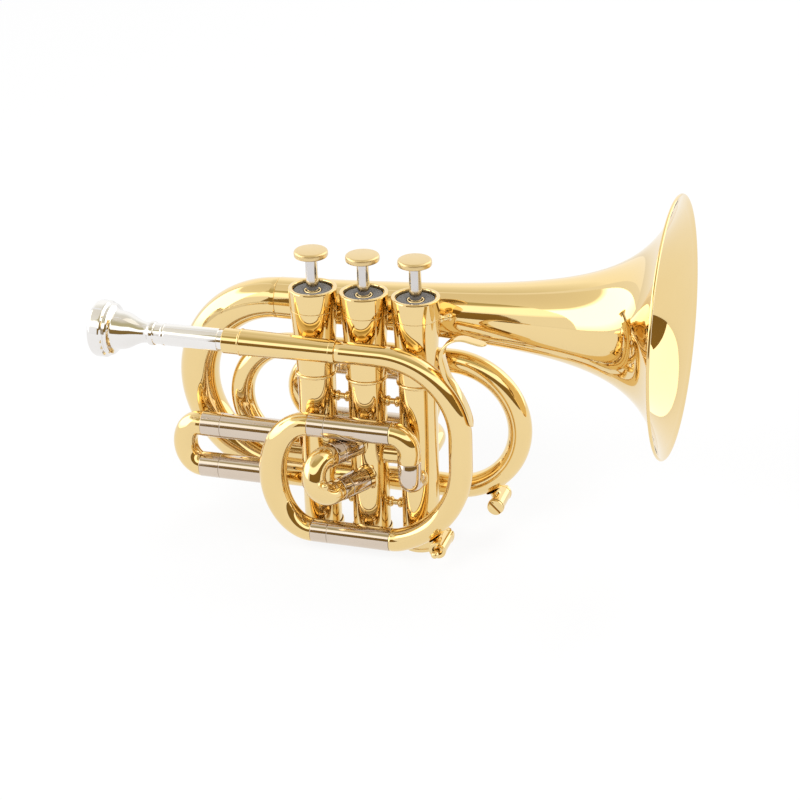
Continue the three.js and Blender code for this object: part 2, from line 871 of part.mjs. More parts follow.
function buildValve(number, x, casing, passages) {
  const valve = new THREE.Group();
  valve.position.x = x;
  trumpet.add(valve);
  piece(`valve_casing_${number}`, casing, lacquerBrass, valve);
  piece(`bottom_cap_${number}`, bottomCap(), lacquerBrass, valve);
  piece(`top_cap_${number}`, topCap(), lacquerBrass, valve);
  piece(`cap_felt_${number}`, capFelt(), felt, valve);
  piece(`piston_${number}`, piston(passages), nickelSilver, valve);
  piece(`valve_spring_${number}`, valveSpring(), springSteel, valve);
  piece(`valve_stem_${number}`, valveStem(), nickelSilver, valve);
  piece(`finger_button_${number}`, fingerButton(), lacquerBrass, valve);
}

buildValve(1, -valvePitch, firstCasing(), [
  [oneInPort, bellPort, 0],
  [oneInPort, firstUpperPort, valveStroke],
  [firstLowerPort, bellPort, valveStroke],
]);
buildValve(2, 0, secondCasing(), [
  [twoInPort, twoOutPort, 0],
  [twoInPort, secondUpperPort, valveStroke],
  [secondLowerPort, twoOutPort, valveStroke],
]);
buildValve(3, valvePitch, thirdCasing(), [
  [inletPort, threeOutPort, 0],
  [inletPort, thirdLowerPort, valveStroke],
  [thirdUpperPort, threeOutPort, valveStroke],
]);

// Builds a slide: a crook, its two legs and the two outer tubes that the legs run in
function buildSlide(name, crook, feet, direction, sizes) {
  const { ferruleLength, legLength, outerLengths } = sizes;
  piece(`${name}_crook`, crook, lacquerBrass);
  ['upper', 'lower'].forEach((level, i) => {
    const foot = feet[i];
    const ahead = foot.clone().add(direction);
    const outerFoot = foot.clone().addScaledVector(direction, ferruleLength + seatGap);
    aimPiece(piece(`${name}_leg_${level}`, slideLeg(ferruleLength, legLength), nickelSilver), foot, ahead);
    const outer = piece(`${name}_outer_${level}`, slideTube(outerLengths[i]), nickelSilver);
    aimPiece(outer, outerFoot, outerFoot.clone().add(direction));
  });
}

// A crook drawn as two right-angle bends with a straight between, from the upper leg to the lower
function crookRoute(upperFoot, lowerFoot, direction, radius) {
  const backwards = direction.clone().negate();
  const start = upperFoot.clone().addScaledVector(backwards, seatGap);
  const down = lowerFoot.clone().sub(upperFoot);
  const straight = down.length() - 2 * radius;
  return new Route(start, backwards).bend(radius, 90, down).run(straight).bend(radius, 90, direction);
}

const forwards = at(1, 0, 0);

function buildTuningSlide() {
  const upper = at(tuningFerruleStart, leadpipePlane, tuningUpperHeight);
  const lower = at(tuningFerruleStart, leadpipePlane, tuningLowerHeight);
  const outerStart = tuningFerruleStart + tuningFerruleLength + seatGap;
  const upperLength = valvePitch - downElbowRadius - seatGap - outerStart;
  const lowerLength = leadpipeLowerEnd - seatGap - outerStart;
  const crook = bentTube(crookRoute(upper, lower, forwards, tuningBend), crookRadius, crookWall);
  buildSlide('tuning_slide', crook, [upper, lower], forwards, {
    ferruleLength: tuningFerruleLength,
    legLength: lowerLength * tuningEngagement,
    outerLengths: [upperLength, lowerLength],
  });
}

function buildLeadpipe() {
  const start = receiverEnd + seatGap;
  const bendStart = leadpipeReach - leadpipeBend;
  const toe = THREE.MathUtils.degToRad(leadpipeToeDegrees);
  const lowerReach = leadpipeLowerBend * (1 - Math.sin(toe));
  const toeBend = (leadpipeReach - leadpipeLowerEnd - lowerReach) / Math.sin(toe);
  const toeRise = toeBend * (1 - Math.cos(toe));
  const lowerCentreHeight = tuningLowerHeight + toeRise + leadpipeLowerBend * Math.cos(toe);
  const drop = leadpipeHeight - leadpipeBend - lowerCentreHeight;
  const route = new Route(at(start, leadpipePlane, leadpipeHeight), forwards);
  route.run(bendStart - start).bend(leadpipeBend, 90, at(0, 0, -1)).run(drop);
  route.bend(leadpipeLowerBend, 90 - leadpipeToeDegrees, at(-1, 0, 0));
  route.bend(toeBend, leadpipeToeDegrees, at(-Math.sin(toe), 0, Math.cos(toe)));
  const length = route.travelled;
  const share = (travelled) => Math.min(1, 2 * travelled / length);
  const radiusAt = (travelled) => blend(leadpipeStartRadius, leadpipeEndRadius, share(travelled));
  const tube = taperedTube(route, radiusAt, leadpipeWall, tubeSides);
  const lowerCentre = at(leadpipeReach - leadpipeLowerBend, leadpipePlane, lowerCentreHeight);
  const key = keyPlace(lowerCentre, leadpipeLowerBend, leadpipeEndRadius, leadpipeKeyDegrees, leadpipeKeyGap);
  piece('leadpipe', withKeyBarrel(tube, key), lacquerBrass);
  buildWaterKey(1, key.middle, -1);
}

function buildInletElbows() {
  const start = at(valvePitch - downElbowRadius, leadpipePlane, tuningUpperHeight);
  const drop = tuningUpperHeight - downElbowRadius - downElbowJoint;
  const down = new Route(start, forwards).bend(downElbowRadius, 90, at(0, 0, -1)).run(drop);
  piece('inlet_elbow_upper', bentTube(down, crookRadius, crookWall), lacquerBrass);
  const jointHeight = downElbowJoint - seatGap;
  const inwards = new Route(at(valvePitch, leadpipePlane, jointHeight), at(0, 0, -1));
  inwards.run(jointHeight - inletHeight - inletElbowRadius).bend(inletElbowRadius, 90, at(0, 1, 0));
  piece('inlet_elbow_lower', bentTube(inwards, crookRadius, crookWall), nickelSilver);
}

function buildReceiver() {
  const length = receiverEnd - receiverStart;
  const ringEnd = receiverRingStart + receiverRingWidth;
  const collarStart = length + receiverCollarLength - receiverCollarLength * 2;
  const collarBore = leadpipeStartRadius + seatGap;
  const socket = mouthpieceLength - mouthpieceVisible + 2 * seatGap;
  const profile = [
    [shankPlugRadius + slideGap, 0],
    [receiverMouthRadius, 0],
    [receiverMouthRadius, receiverRingStart],
    [receiverRingRadius, receiverRingStart],
    [receiverRingRadius, ringEnd],
    [receiverThickRadius, ringEnd],
    [receiverThinRadius, collarStart],
    [receiverCollarRadius, collarStart],
    [receiverCollarRadius, length + receiverCollarLength],
    [collarBore, length + receiverCollarLength],
    [collarBore, length],
    [venturiRadius, length],
    [venturiRadius, socket],
    [shankTipRadius + slideGap, socket],
  ];
  const foot = at(receiverStart, leadpipePlane, leadpipeHeight);
  const receiver = piece('mouthpiece_receiver', turned(profile, slideSides), lacquerBrass);
  aimPiece(receiver, foot, at(0, leadpipePlane, leadpipeHeight));
}

// The mouthpiece is turned from its rim back to the tip of its shank
function buildMouthpiece() {
  const shoulder = mouthpieceVisible - seatGap;
  const rimFaceShare = 0.86;
  const lipShare = 0.62;
  const cupShares = [[0.93, 0.25], [0.7, 0.68], [0.4, 0.92]];
  const bowlShares = [[0.9, 0.14], [0.78, 0.32], [0.6, 0.48], [0.42, 0.64]];
  const bowlStart = rimBandLength * 1.35;
  const bowlLength = rimBandLength * 2.3;
  const bowl = bowlShares.map(([radiusShare, lengthShare]) => [
    rimRadius * radiusShare,
    bowlStart + bowlLength * lengthShare,
  ]);
  const neckEnd = bowlStart + bowlLength;
  const beadLength = neckBeadRadius * 0.4;
  const outer = [
    [rimRadius * rimFaceShare, 0],
    [rimRadius, capRimRound * 2],
    [rimRadius, rimBandLength],
    [rimBeadRadius * 0.95, rimBandLength * 1.08],
    [rimBeadRadius, rimBandLength * 1.2],
    ...bowl,
    [neckOuterRadius, neckEnd - beadLength],
    [neckBeadRadius, neckEnd],
    [neckBeadRadius, neckEnd + beadLength],
    [shankThinRadius, neckEnd + 2 * beadLength],
    [shankThickRadius, shoulder],
    [shankPlugRadius, shoulder],
    [shankTipRadius, mouthpieceLength],
  ];
  const cup = cupShares.map(([radiusShare, depthShare]) => [cupRadius * radiusShare, cupDepth * depthShare]);
  const inner = [
    [rimRadius * lipShare, 0],
    ...cup,
    [throatRadius, cupDepth * 1.2],
    [throatRadius, cupDepth * 1.7],
    [backboreRadius, mouthpieceLength],
  ];
  const outline = [...inner.reverse(), ...outer].reverse();
  const profile = outline.map(([radius, depth]) => [radius, mouthpieceLength - depth]);
  const face = at(receiverStart - mouthpieceVisible, leadpipePlane, leadpipeHeight);
  const tip = at(face.x + mouthpieceLength, leadpipePlane, leadpipeHeight);
  aimPiece(piece('mouthpiece', turned(profile, valveSides), silverPlate), tip, face);
}

function buildFirstSlide() {
  const upper = at(firstFerruleStart, 0, firstUpperHeight);
  const lower = at(firstFerruleStart, 0, firstLowerHeight);
  const outerLength = firstKnuckleEnd - firstFerruleStart - firstFerruleLength - 2 * seatGap;
  const crook = bentTube(crookRoute(upper, lower, forwards, firstBend), crookRadius, crookWall);
  buildSlide('first_slide', crook, [upper, lower], forwards, {
    ferruleLength: firstFerruleLength,
    legLength: firstLegLength,
    outerLengths: [outerLength, outerLength],
  });
}

function buildSecondSlide() {
  const reach = secondKnuckleReach + seatGap + secondOuterLength + seatGap + secondFerruleLength;
  const feet = [secondUpperPort, secondLowerPort].map((place) => portPoint(place, reach));
  const direction = bearingVector(secondBearingDegrees).negate();
  const outward = direction.clone().negate();
  const across = feet[1].clone().sub(feet[0]);
  const bend = across.length() / 2;
  const start = feet[0].clone().addScaledVector(outward, seatGap);
  const route = new Route(start, outward).run(secondCrookStraight);
  route.bend(bend, 180, across).run(secondCrookStraight);
  const crook = bentTube(route, crookRadius, crookWall);
  const sideways = bearingVector(secondBearingDegrees + 90);
  const furthest = start.clone().addScaledVector(outward, secondCrookStraight + bend);
  furthest.addScaledVector(across, 0.5);
  const knobFoot = furthest.clone().addScaledVector(sideways, crookRadius - crookWall / 2);
  const knobTop = furthest.clone().addScaledVector(sideways, crookRadius + knobLength);
  const neck = rod(knobNeckRadius, knobFoot, knobTop, smallSides);
  const ball = new THREE.SphereGeometry(knobBallRadius, smallSides, smallSides / 2);
  ball.translate(knobTop.x, knobTop.y, knobTop.z);
  buildSlide('second_slide', fuseAndCut(crook, [neck, ball], []), feet, direction, {
    ferruleLength: secondFerruleLength,
    legLength: secondLegLength,
    outerLengths: [secondOuterLength, secondOuterLength],
  });
}

function buildThirdSlide() {
  const upper = at(thirdFerruleStart, thirdPlane, thirdUpperHeight);
  const lower = at(thirdFerruleStart, thirdPlane, thirdLowerHeight);
  const crook = bentTube(crookRoute(upper, lower, forwards, thirdBend * 0.99), crookRadius, crookWall);
  buildSlide('third_slide', crook, [upper, lower], forwards, {
    ferruleLength: thirdFerruleLength,
    legLength: thirdLegLength,
    outerLengths: [thirdOuterLength, thirdOuterLength],
  });
  const braceFoot = at(thirdBraceX, thirdPlane, thirdLowerHeight + slideRadius + seatGap);
  const braceLength = thirdUpperHeight - slideRadius - seatGap - braceFoot.z;
  const brace = piece('third_slide_brace', spool(braceLength), lacquerBrass);
  aimPiece(brace, braceFoot, braceFoot.clone().setZ(thirdUpperHeight));
  const ring = new THREE.TorusGeometry(fingerRingRadius, fingerRingWire, smallSides, fingerRingSteps);
  const ringHeight = thirdUpperHeight + slideRadius + seatGap + fingerRingRadius + fingerRingWire;
  const fingerRing = piece('third_slide_ring', weld(ring.rotateX(Math.PI / 2)), lacquerBrass);
  fingerRing.position.set(fingerRingX, thirdPlane, ringHeight);
}

// The bell is turned from its tail to its rim, with a wire rolled into the rim
function bellProfile(extra) {
  const outer = [];
  for (let ring = 0; ring <= bellRings; ring += 1) {
    const share = Math.pow(1 - ring / bellRings, bellRingSpacingPower);
    const distance = bellRimBead * 2 + (bellLength - bellRimBead * 2) * share;
    outer.push([bellRadiusAt(distance) + extra, bellLength - distance]);
  }
  return outer;
}

function buildBell() {
  const outer = bellProfile(0);
  const inner = outer.map(([radius, height]) => [radius - bellWall, height]).reverse();
  const bead = [
    [bellRimRadius + bellRimBead, bellLength - bellRimBead],
    [bellRimRadius + bellRimBead / 2, bellLength],
    [bellRimRadius - bellRimBead / 2, bellLength],
  ];
  const tail = at(bellTailStart, bellPlane, bellTailHeight);
  const mouth = tail.clone().add(at(Math.cos(bellTilt), 0, Math.sin(bellTilt)));
  aimPiece(piece('bell', turned([...outer, ...bead, ...inner], bellSides), lacquerBrass), tail, mouth);
}

function buildRearBow() {
  const backwards = at(-Math.cos(bellTilt), 0, -Math.sin(bellTilt));
  const inwards = at(Math.sin(bellTilt), 0, -Math.cos(bellTilt));
  const start = at(bellTailStart, bellPlane, bellTailHeight).addScaledVector(backwards, seatGap);
  const route = new Route(start, backwards).bend(rearBowBend, 180 - bellTiltDegrees, inwards);
  const bendLength = route.travelled;
  route.run(lowerFerrule - route.point.x);
  const radiusAt = (travelled) => {
    const along = travelled <= bendLength
      ? bowTaperShare * Math.pow(travelled / bendLength, 3)
      : blend(bowTaperShare, 1, (travelled - bendLength) / (route.travelled - bendLength));
    return blend(bowTailRadius, bowMouthRadius, along);
  };
  piece('rear_bow', taperedTube(route, radiusAt, bowWall, tubeSides), lacquerBrass);
}

function buildFrontBow() {
  const start = at(lowerFerrule + seatGap, bellPlane, lowerBowHeight);
  const route = new Route(start, forwards).run(frontBowCentre - start.x);
  route.bend(frontBowBend, 180, at(0, 0, 1)).run(frontBowCentre - upperFerrule);
  const tube = bentTube(route, bowRadius, bowWall);
  const centre = at(frontBowCentre, bellPlane, lowerBowHeight + frontBowBend);
  const key = keyPlace(centre, frontBowBend, bowRadius, frontBowKeyDegrees, frontBowKeyGap);
  piece('front_bow', withKeyBarrel(tube, key), lacquerBrass);
  buildWaterKey(2, key.middle, 1);
}

// The inner bow leans in towards the valves and ends at the first valve
function buildInnerBow() {
  const endPlane = casingRadius + tailStub + seatGap + tailElbowRadius;
  const start = at(upperFerrule - seatGap, bellPlane, upperBowHeight);
  const across = at(0, endPlane - bellPlane, bellPortHeight - upperBowHeight);
  const route = new Route(start, at(-1, 0, 0)).run(start.x - rearInnerBowCentre);
  route.bend(across.length() / 2, 180, across).run(-valvePitch - tailElbowRadius - rearInnerBowCentre);
  route.bend(tailElbowRadius, 90, at(0, -1, 0));
  piece('inner_bow', bentTube(route, bowRadius, bowWall), lacquerBrass);
}

// Where a water key stands on the outside of a bend: its middle, and the foot of its saddle on the tube
function keyPlace(centre, bend, tubeRadius, degrees, gap) {
  const angle = THREE.MathUtils.degToRad(degrees);
  const outward = at(Math.cos(angle), 0, Math.sin(angle));
  const middle = centre.clone().addScaledVector(outward, bend + tubeRadius + gap + keyBarrelRadius);
  const foot = centre.clone().addScaledVector(outward, bend + tubeRadius - bowWall / 2);
  return { middle, foot };
}

// A water key's barrel lies across the tube on a small saddle and is brazed to it
function withKeyBarrel(tube, { middle, foot }) {
  const half = keyBarrelLength / 2;
  const near = middle.clone().setY(middle.y - half);
  const far = middle.clone().setY(middle.y + half);
  const barrel = rod(keyBarrelRadius, near, far, tubeSides);
  const saddle = rod(keySaddleRadius, foot, middle, smallSides);
  const boreNear = near.clone().setY(near.y - keySeat);
  const bore = rod(keyBore, boreNear, far.clone().setY(far.y + keySeat), smallSides);
  return fuseAndCut(tube, [saddle, barrel], [bore]);
}

// A water key's plunger ends in a button on one side, and a slotted screw closes the other side
function buildWaterKey(number, middle, side) {
  const half = keyBarrelLength / 2;
  const away = at(0, side, 0);
  const shaft = keyBore - slideGap;
  const buttonFoot = half + keyTravel + seatGap;
  const plunger = turned([
    [0, -half + keyScrewShank + keyTravel + 2 * seatGap],
    [shaft, -half + keyScrewShank + keyTravel + 2 * seatGap],
    [shaft, half - keySeat],
    [keyButtonNeck, half - keySeat],
    [keyButtonNeck, buttonFoot],
    [keyButtonRadius, buttonFoot + keyButtonRadius * 0.4],
    [keyButtonRadius, buttonFoot + keyButtonRadius * 0.9],
    [keyButtonRadius * 0.6, buttonFoot + keyButtonRadius * 1.5],
    [0, buttonFoot + keyButtonRadius * 1.6],
  ], smallSides);
  aimPiece(piece(`water_key_plunger_${number}`, plunger, lacquerBrass), middle, middle.clone().add(away));
  const screwFoot = half + seatGap;
  const screw = turned([
    [0, half - keyScrewShank],
    [shaft, half - keyScrewShank],
    [shaft, screwFoot],
    [keyScrewHead, screwFoot],
    [keyScrewHead, screwFoot + keyScrewThickness],
    [0, screwFoot + keyScrewThickness],
  ], smallSides);
  const slot = new THREE.BoxGeometry(keySlotWidth, 3 * keyScrewHead, 2 * keySlotDepth);
  slot.translate(0, 0, screwFoot + keyScrewThickness);
  const slotted = fuseAndCut(screw, [], [slot]);
  aimPiece(piece(`water_key_screw_${number}`, slotted, lacquerBrass), middle, middle.clone().sub(away));
}

// The finger hook: a strap that lies along the leadpipe's bend, then rises, arches over and tips up
function buildFingerHook() {
  const centre = at(leadpipeReach - leadpipeBend, 0, leadpipeHeight - leadpipeBend);
  const seat = leadpipeBend + leadpipeEndRadius + seatGap + hookThickness / 2;
  const line = [];
  const footSteps = 6;
  for (let step = 0; step <= footSteps; step += 1) {
    const angle = THREE.MathUtils.degToRad(blend(hookFootStartDegrees, hookFootEndDegrees, step / footSteps));
    line.push(new THREE.Vector2(centre.x + seat * Math.cos(angle), centre.z + seat * Math.sin(angle)));
  }
  const archSteps = 8;
  const arch = new THREE.Vector2(leadpipeReach + hookArchForward, leadpipeHeight + hookArchRise);
  for (let step = 0; step <= archSteps; step += 1) {
    const angle = THREE.MathUtils.degToRad(blend(hookArchStartDegrees, hookArchEndDegrees, step / archSteps));
    const arm = new THREE.Vector2(Math.cos(angle), Math.sin(angle)).multiplyScalar(hookArchRadius);
    line.push(arm.add(arch));
  }
  const last = line[line.length - 1];
  const tailAngle = THREE.MathUtils.degToRad(hookArchEndDegrees - 90);
  const tail = new THREE.Vector2(Math.cos(tailAngle), Math.sin(tailAngle)).multiplyScalar(hookTail);
  line.push(tail.add(last));
  const side = ribbonShape(line, hookThickness);
  const strap = new THREE.ExtrudeGeometry(side, { depth: hookWidth, bevelEnabled: false });
  strap.rotateX(Math.PI / 2);
  piece('finger_hook', weld(strap), lacquerBrass).position.y = leadpipePlane + hookWidth / 2;
}

// The outline of a strap of even thickness along a line of points
function ribbonShape(line, thickness) {
  const left = [];
  const right = [];
  line.forEach((point, i) => {
    const before = line[Math.max(i - 1, 0)];
    const after = line[Math.min(i + 1, line.length - 1)];
    const side = after.clone().sub(before).normalize().multiplyScalar(thickness / 2);
    left.push(new THREE.Vector2(point.x - side.y, point.y + side.x));
    right.push(new THREE.Vector2(point.x + side.y, point.y - side.x));
  });
  return new THREE.Shape([...left, ...right.reverse()]);
}

buildMouthpiece();
buildReceiver();
buildLeadpipe();
buildTuningSlide();
buildInletElbows();
buildFirstSlide();
buildSecondSlide();
buildThirdSlide();
buildBell();
buildRearBow();
buildFrontBow();
buildInnerBow();
buildFingerHook();

export default trumpet;
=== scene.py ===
"""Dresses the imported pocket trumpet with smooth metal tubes, valves, slides and a bell.

Sizes are in millimetres and are named after the pieces they belong to. X runs from the
mouthpiece towards the bell, Y towards the player's left and Z up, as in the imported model.
"""

from __future__ import annotations

import json
import logging
import math
from dataclasses import dataclass, field
from enum import Enum
from typing import Callable

import bmesh
import bpy
from mathutils import Matrix, Vector

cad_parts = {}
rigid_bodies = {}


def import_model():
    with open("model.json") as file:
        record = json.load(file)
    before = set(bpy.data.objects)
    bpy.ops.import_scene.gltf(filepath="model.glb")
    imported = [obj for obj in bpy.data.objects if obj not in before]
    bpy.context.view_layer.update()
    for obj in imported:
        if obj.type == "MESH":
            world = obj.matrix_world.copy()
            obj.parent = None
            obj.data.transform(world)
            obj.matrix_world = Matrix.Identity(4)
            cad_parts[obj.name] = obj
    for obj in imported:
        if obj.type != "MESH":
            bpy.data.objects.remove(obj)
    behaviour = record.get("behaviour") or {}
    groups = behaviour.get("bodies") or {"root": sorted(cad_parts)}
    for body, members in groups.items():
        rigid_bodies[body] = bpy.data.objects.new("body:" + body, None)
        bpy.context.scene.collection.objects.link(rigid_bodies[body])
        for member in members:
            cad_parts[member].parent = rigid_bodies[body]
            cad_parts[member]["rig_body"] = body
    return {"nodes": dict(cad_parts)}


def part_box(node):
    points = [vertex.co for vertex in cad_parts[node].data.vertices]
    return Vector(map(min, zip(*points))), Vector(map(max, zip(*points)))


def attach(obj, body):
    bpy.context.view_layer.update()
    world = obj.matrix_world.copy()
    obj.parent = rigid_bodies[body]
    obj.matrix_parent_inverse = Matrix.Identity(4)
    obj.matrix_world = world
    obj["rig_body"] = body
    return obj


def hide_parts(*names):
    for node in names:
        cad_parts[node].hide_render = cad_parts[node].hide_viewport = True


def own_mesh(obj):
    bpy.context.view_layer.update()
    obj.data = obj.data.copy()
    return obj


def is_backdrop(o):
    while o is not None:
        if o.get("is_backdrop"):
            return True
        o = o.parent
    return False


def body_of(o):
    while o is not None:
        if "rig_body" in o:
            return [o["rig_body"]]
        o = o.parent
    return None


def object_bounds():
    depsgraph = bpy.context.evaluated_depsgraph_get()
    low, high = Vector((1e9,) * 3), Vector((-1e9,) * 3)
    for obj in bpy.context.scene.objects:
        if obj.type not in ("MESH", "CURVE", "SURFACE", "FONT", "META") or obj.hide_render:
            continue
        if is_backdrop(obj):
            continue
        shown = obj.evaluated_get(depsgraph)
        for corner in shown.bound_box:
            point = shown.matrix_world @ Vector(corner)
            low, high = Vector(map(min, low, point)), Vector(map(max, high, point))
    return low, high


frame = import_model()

LOG = logging.getLogger("trumpet")
MM = 0.001
ALONG = Vector((1, 0, 0))
LEFT = Vector((0, 1, 0))
UP = Vector((0, 0, 1))
SEAT_GAP = 0.3
JOINT = 0.1
TINY = 1e-6
SHARP_ANGLE = math.radians(50)

# Where the tubes lie: three upright planes along the instrument, and heights in them

LEAD_PLANE = -17.5
BELL_PLANE = 25.33
THIRD_PLANE = 36.33
LEAD_HEIGHT = 109.8
UPPER_BOW = 91.0
LOWER_BOW = 21.5
INNER_BOW = 35.0
INLET = 42.0
TUNING_UPPER, TUNING_LOWER = 69.2, 10.3
FIRST_UPPER, FIRST_LOWER = 53.9, 30.7
THIRD_UPPER, THIRD_LOWER = 78.3, 46.7
THIRD_JOINT = 7.6

Outline = list[tuple[float, float]]
Colour = tuple[float, float, float]
Ring = list[Vector]
Radius = Callable[[float], float]


def blend(start: float, end: float, share: float) -> float:
    """Returns the number at a share of the way from start to end."""
    return start + (end - start) * share


def bearing(degrees: float) -> Vector:
    """Returns the level unit vector at an angle from X."""
    angle = math.radians(degrees)
    return Vector((math.cos(angle), math.sin(angle), 0))


def circle(sides: int) -> list[tuple[float, float]]:
    """Returns the cosine and sine of each corner of a regular outline."""
    angles = [2 * math.pi * side / sides for side in range(sides)]
    return [(math.cos(angle), math.sin(angle)) for angle in angles]


# Shapes


@dataclass
class Shape:
    """A mesh in millimetres, kept as corner points and faces until it becomes an object."""

    points: list[Vector] = field(default_factory=list)
    faces: list[tuple[int, ...]] = field(default_factory=list)

    def add(self, *others: Shape) -> Shape:
        """Adds other shapes to this one.

        Args:
            others: the shapes to add.

        Returns:
            This shape.
        """
        for other in others:
            base = len(self.points)
            self.points += other.points
            self.faces += [tuple(corner + base for corner in face) for face in other.faces]
        return self

    def moved(self, offset: Vector) -> Shape:
        """Returns the shape shifted by an offset."""
        return Shape([point + offset for point in self.points], list(self.faces))

    def aimed(self, foot: Vector, towards: Vector) -> Shape:
        """Turns the shape's Z axis along a direction and stands its origin on a point."""
        turn = UP.rotation_difference(towards.normalized())
        return Shape([turn @ point + foot for point in self.points], list(self.faces))


def skinned(rings: list[Ring], closed: bool = False) -> Shape:
    """Joins rings of points into one skin.

    Args:
        rings: the rings in order, each with equally many points or a single one.
        closed: whether the last ring joins the first. Otherwise each end is a flat face.

    Returns:
        The shape.
    """
    sides = max(len(ring) for ring in rings)
    shape = Shape()
    numbers = []
    for ring in rings:
        first = len(shape.points)
        numbers.append([first] * sides if len(ring) == 1 else list(range(first, first + sides)))
        shape.points += ring
    for lower, upper in zip(numbers, numbers[1:] + numbers[:1] if closed else numbers[1:]):
        for side in range(sides):
            after = (side + 1) % sides
            corners = [lower[side], lower[after], upper[after], upper[side]]
            kept = [corner for i, corner in enumerate(corners) if corner != corners[i - 1]]
            if len(kept) > 2:
                shape.faces.append(tuple(kept))
    if not closed:
        ends = (numbers[0][::-1], numbers[-1])
        shape.faces += [tuple(end) for end in ends if end[0] != end[1]]
    return shape


def eased(outline: Outline, size: float, closed: bool) -> Outline:
    """Rounds the corners of an outline and keeps the runs between them straight.

    Args:
        outline: radius and height pairs.
        size: how far the rounding reaches from each corner.
        closed: whether the last point joins the first.

    Returns:
        The rounded outline.
    """
    steps = 4
    run_out = 1.6
    most = 0.3
    nearly_straight = math.radians(18)
    result: Outline = []
    for i, corner in enumerate(outline):
        here = Vector(corner)
        back = Vector(outline[i - 1]) - here
        ahead = Vector(outline[(i + 1) % len(outline)]) - here
        is_end = not closed and i in (0, len(outline) - 1)
        shorter = min(back.length, ahead.length)
        if is_end or shorter < TINY or back.angle(-ahead) < nearly_straight:
            result.append(corner)
            continue
        reach = min(size, shorter * most)
        start = here + back.normalized() * reach
        end = here + ahead.normalized() * reach
        result.append(tuple(here + back.normalized() * reach * run_out))
        for share in (step / steps for step in range(steps + 1)):
            result.append(tuple(start * (1 - share) ** 2 + here * 2 * share * (1 - share) + end * share**2))
        result.append(tuple(here + ahead.normalized() * reach * run_out))
    return result


def turned(outline: Outline, sides: int = 64, ease: float = 0.2) -> Shape:
    """Turns an outline about Z.

    Args:
        outline: radius and height pairs. It closes on itself unless both ends are on the axis.
        sides: how many sides the turning has.
        ease: how far each corner is rounded.

    Returns:
        The closed shape.
    """
    closed = outline[0][0] > 0 or outline[-1][0] > 0
    rings: list[Ring] = []
    for radius, height in eased(outline, ease, closed) if ease else outline:
        if radius < TINY:
            rings.append([UP * height])
        else:
            rings.append([Vector((radius * c, radius * s, height)) for c, s in circle(sides)])
    return skinned(rings, closed)


@dataclass(frozen=True)
class Station:
    """A place on a tube's centre line: its point, heading and distance travelled."""

    point: Vector
    heading: Vector
    travelled: float


class Route:
    """A tube's centre line, made of straight runs, bends and ovals."""

    def __init__(self, start: Vector, heading: Vector) -> None:
        """Starts the line.

        Args:
            start: its first point.
            heading: the way it sets out.
        """
        self.point = start.copy()
        self.heading = heading.normalized()
        self.travelled = 0.0
        self.stations: list[Station] = []
        self.mark()

    def mark(self) -> None:
        """Adds a station at the present place."""
        self.stations.append(Station(self.point.copy(), self.heading.copy(), self.travelled))

    def run(self, length: float, steps: int = 1) -> Route:
        """Goes straight on.

        Args:
            length: how far it goes.
            steps: how many stations it marks.

        Returns:
            The route.
        """
        for _ in range(steps):
            self.point += self.heading * (length / steps)
            self.travelled += length / steps
            self.mark()
        return self

    def bend(self, radius: float, degrees: float, towards: Vector, step_degrees: float = 4) -> Route:
        """Bends round a centre that lies to one side.

        Args:
            radius: the bend's radius on the centre line.
            degrees: how far it turns.
            towards: the direction of the centre from here.
            step_degrees: the turn between stations.

        Returns:
            The route.
        """
        inward = towards.normalized()
        start = self.heading.copy()
        centre = self.point + inward * radius
        before = self.travelled
        steps = max(2, math.ceil(degrees / step_degrees))
        for step in range(1, steps + 1):
            angle = math.radians(degrees) * step / steps
            self.point = centre - inward * radius * math.cos(angle) + start * radius * math.sin(angle)
            self.heading = start * math.cos(angle) + inward * math.sin(angle)
            self.travelled = before + radius * angle
            self.mark()
        return self

    def oval(self, reach: float, across: Vector, steps: int = 44) -> Route:
        """Rounds half an oval and comes back the other way.

        Args:
            reach: how far the oval goes ahead.
            across: the step from here to its far end.
            steps: how many stations it has.

        Returns:
            The route.
        """
        ahead = self.heading * reach
        half = across / 2
        middle = self.point + half
        for step in range(1, steps + 1):
            angle = math.pi * step / steps
            place = middle - half * math.cos(angle) + ahead * math.sin(angle)
            self.travelled += (place - self.point).length
            self.point = place
            self.heading = (half * math.sin(angle) + ahead * math.cos(angle)).normalized()
            self.mark()
        return self


def rings_along(stations: list[Station], radius_at: Radius, sides: int) -> list[Ring]:
    """Draws a ring round each station, without twist.

    Args:
        stations: places on the centre line.
        radius_at: the radius at a distance travelled.
        sides: how many points a ring has.

    Returns:
        The rings.
    """
    rings = []
    side_ways = stations[0].heading.orthogonal().normalized()
    for before, station in zip([stations[0], *stations], stations):
        side_ways = before.heading.rotation_difference(station.heading) @ side_ways
        other = station.heading.cross(side_ways)
        radius = radius_at(station.travelled)
        rings.append([station.point + (side_ways * c + other * s) * radius for c, s in circle(sides)])
    return rings


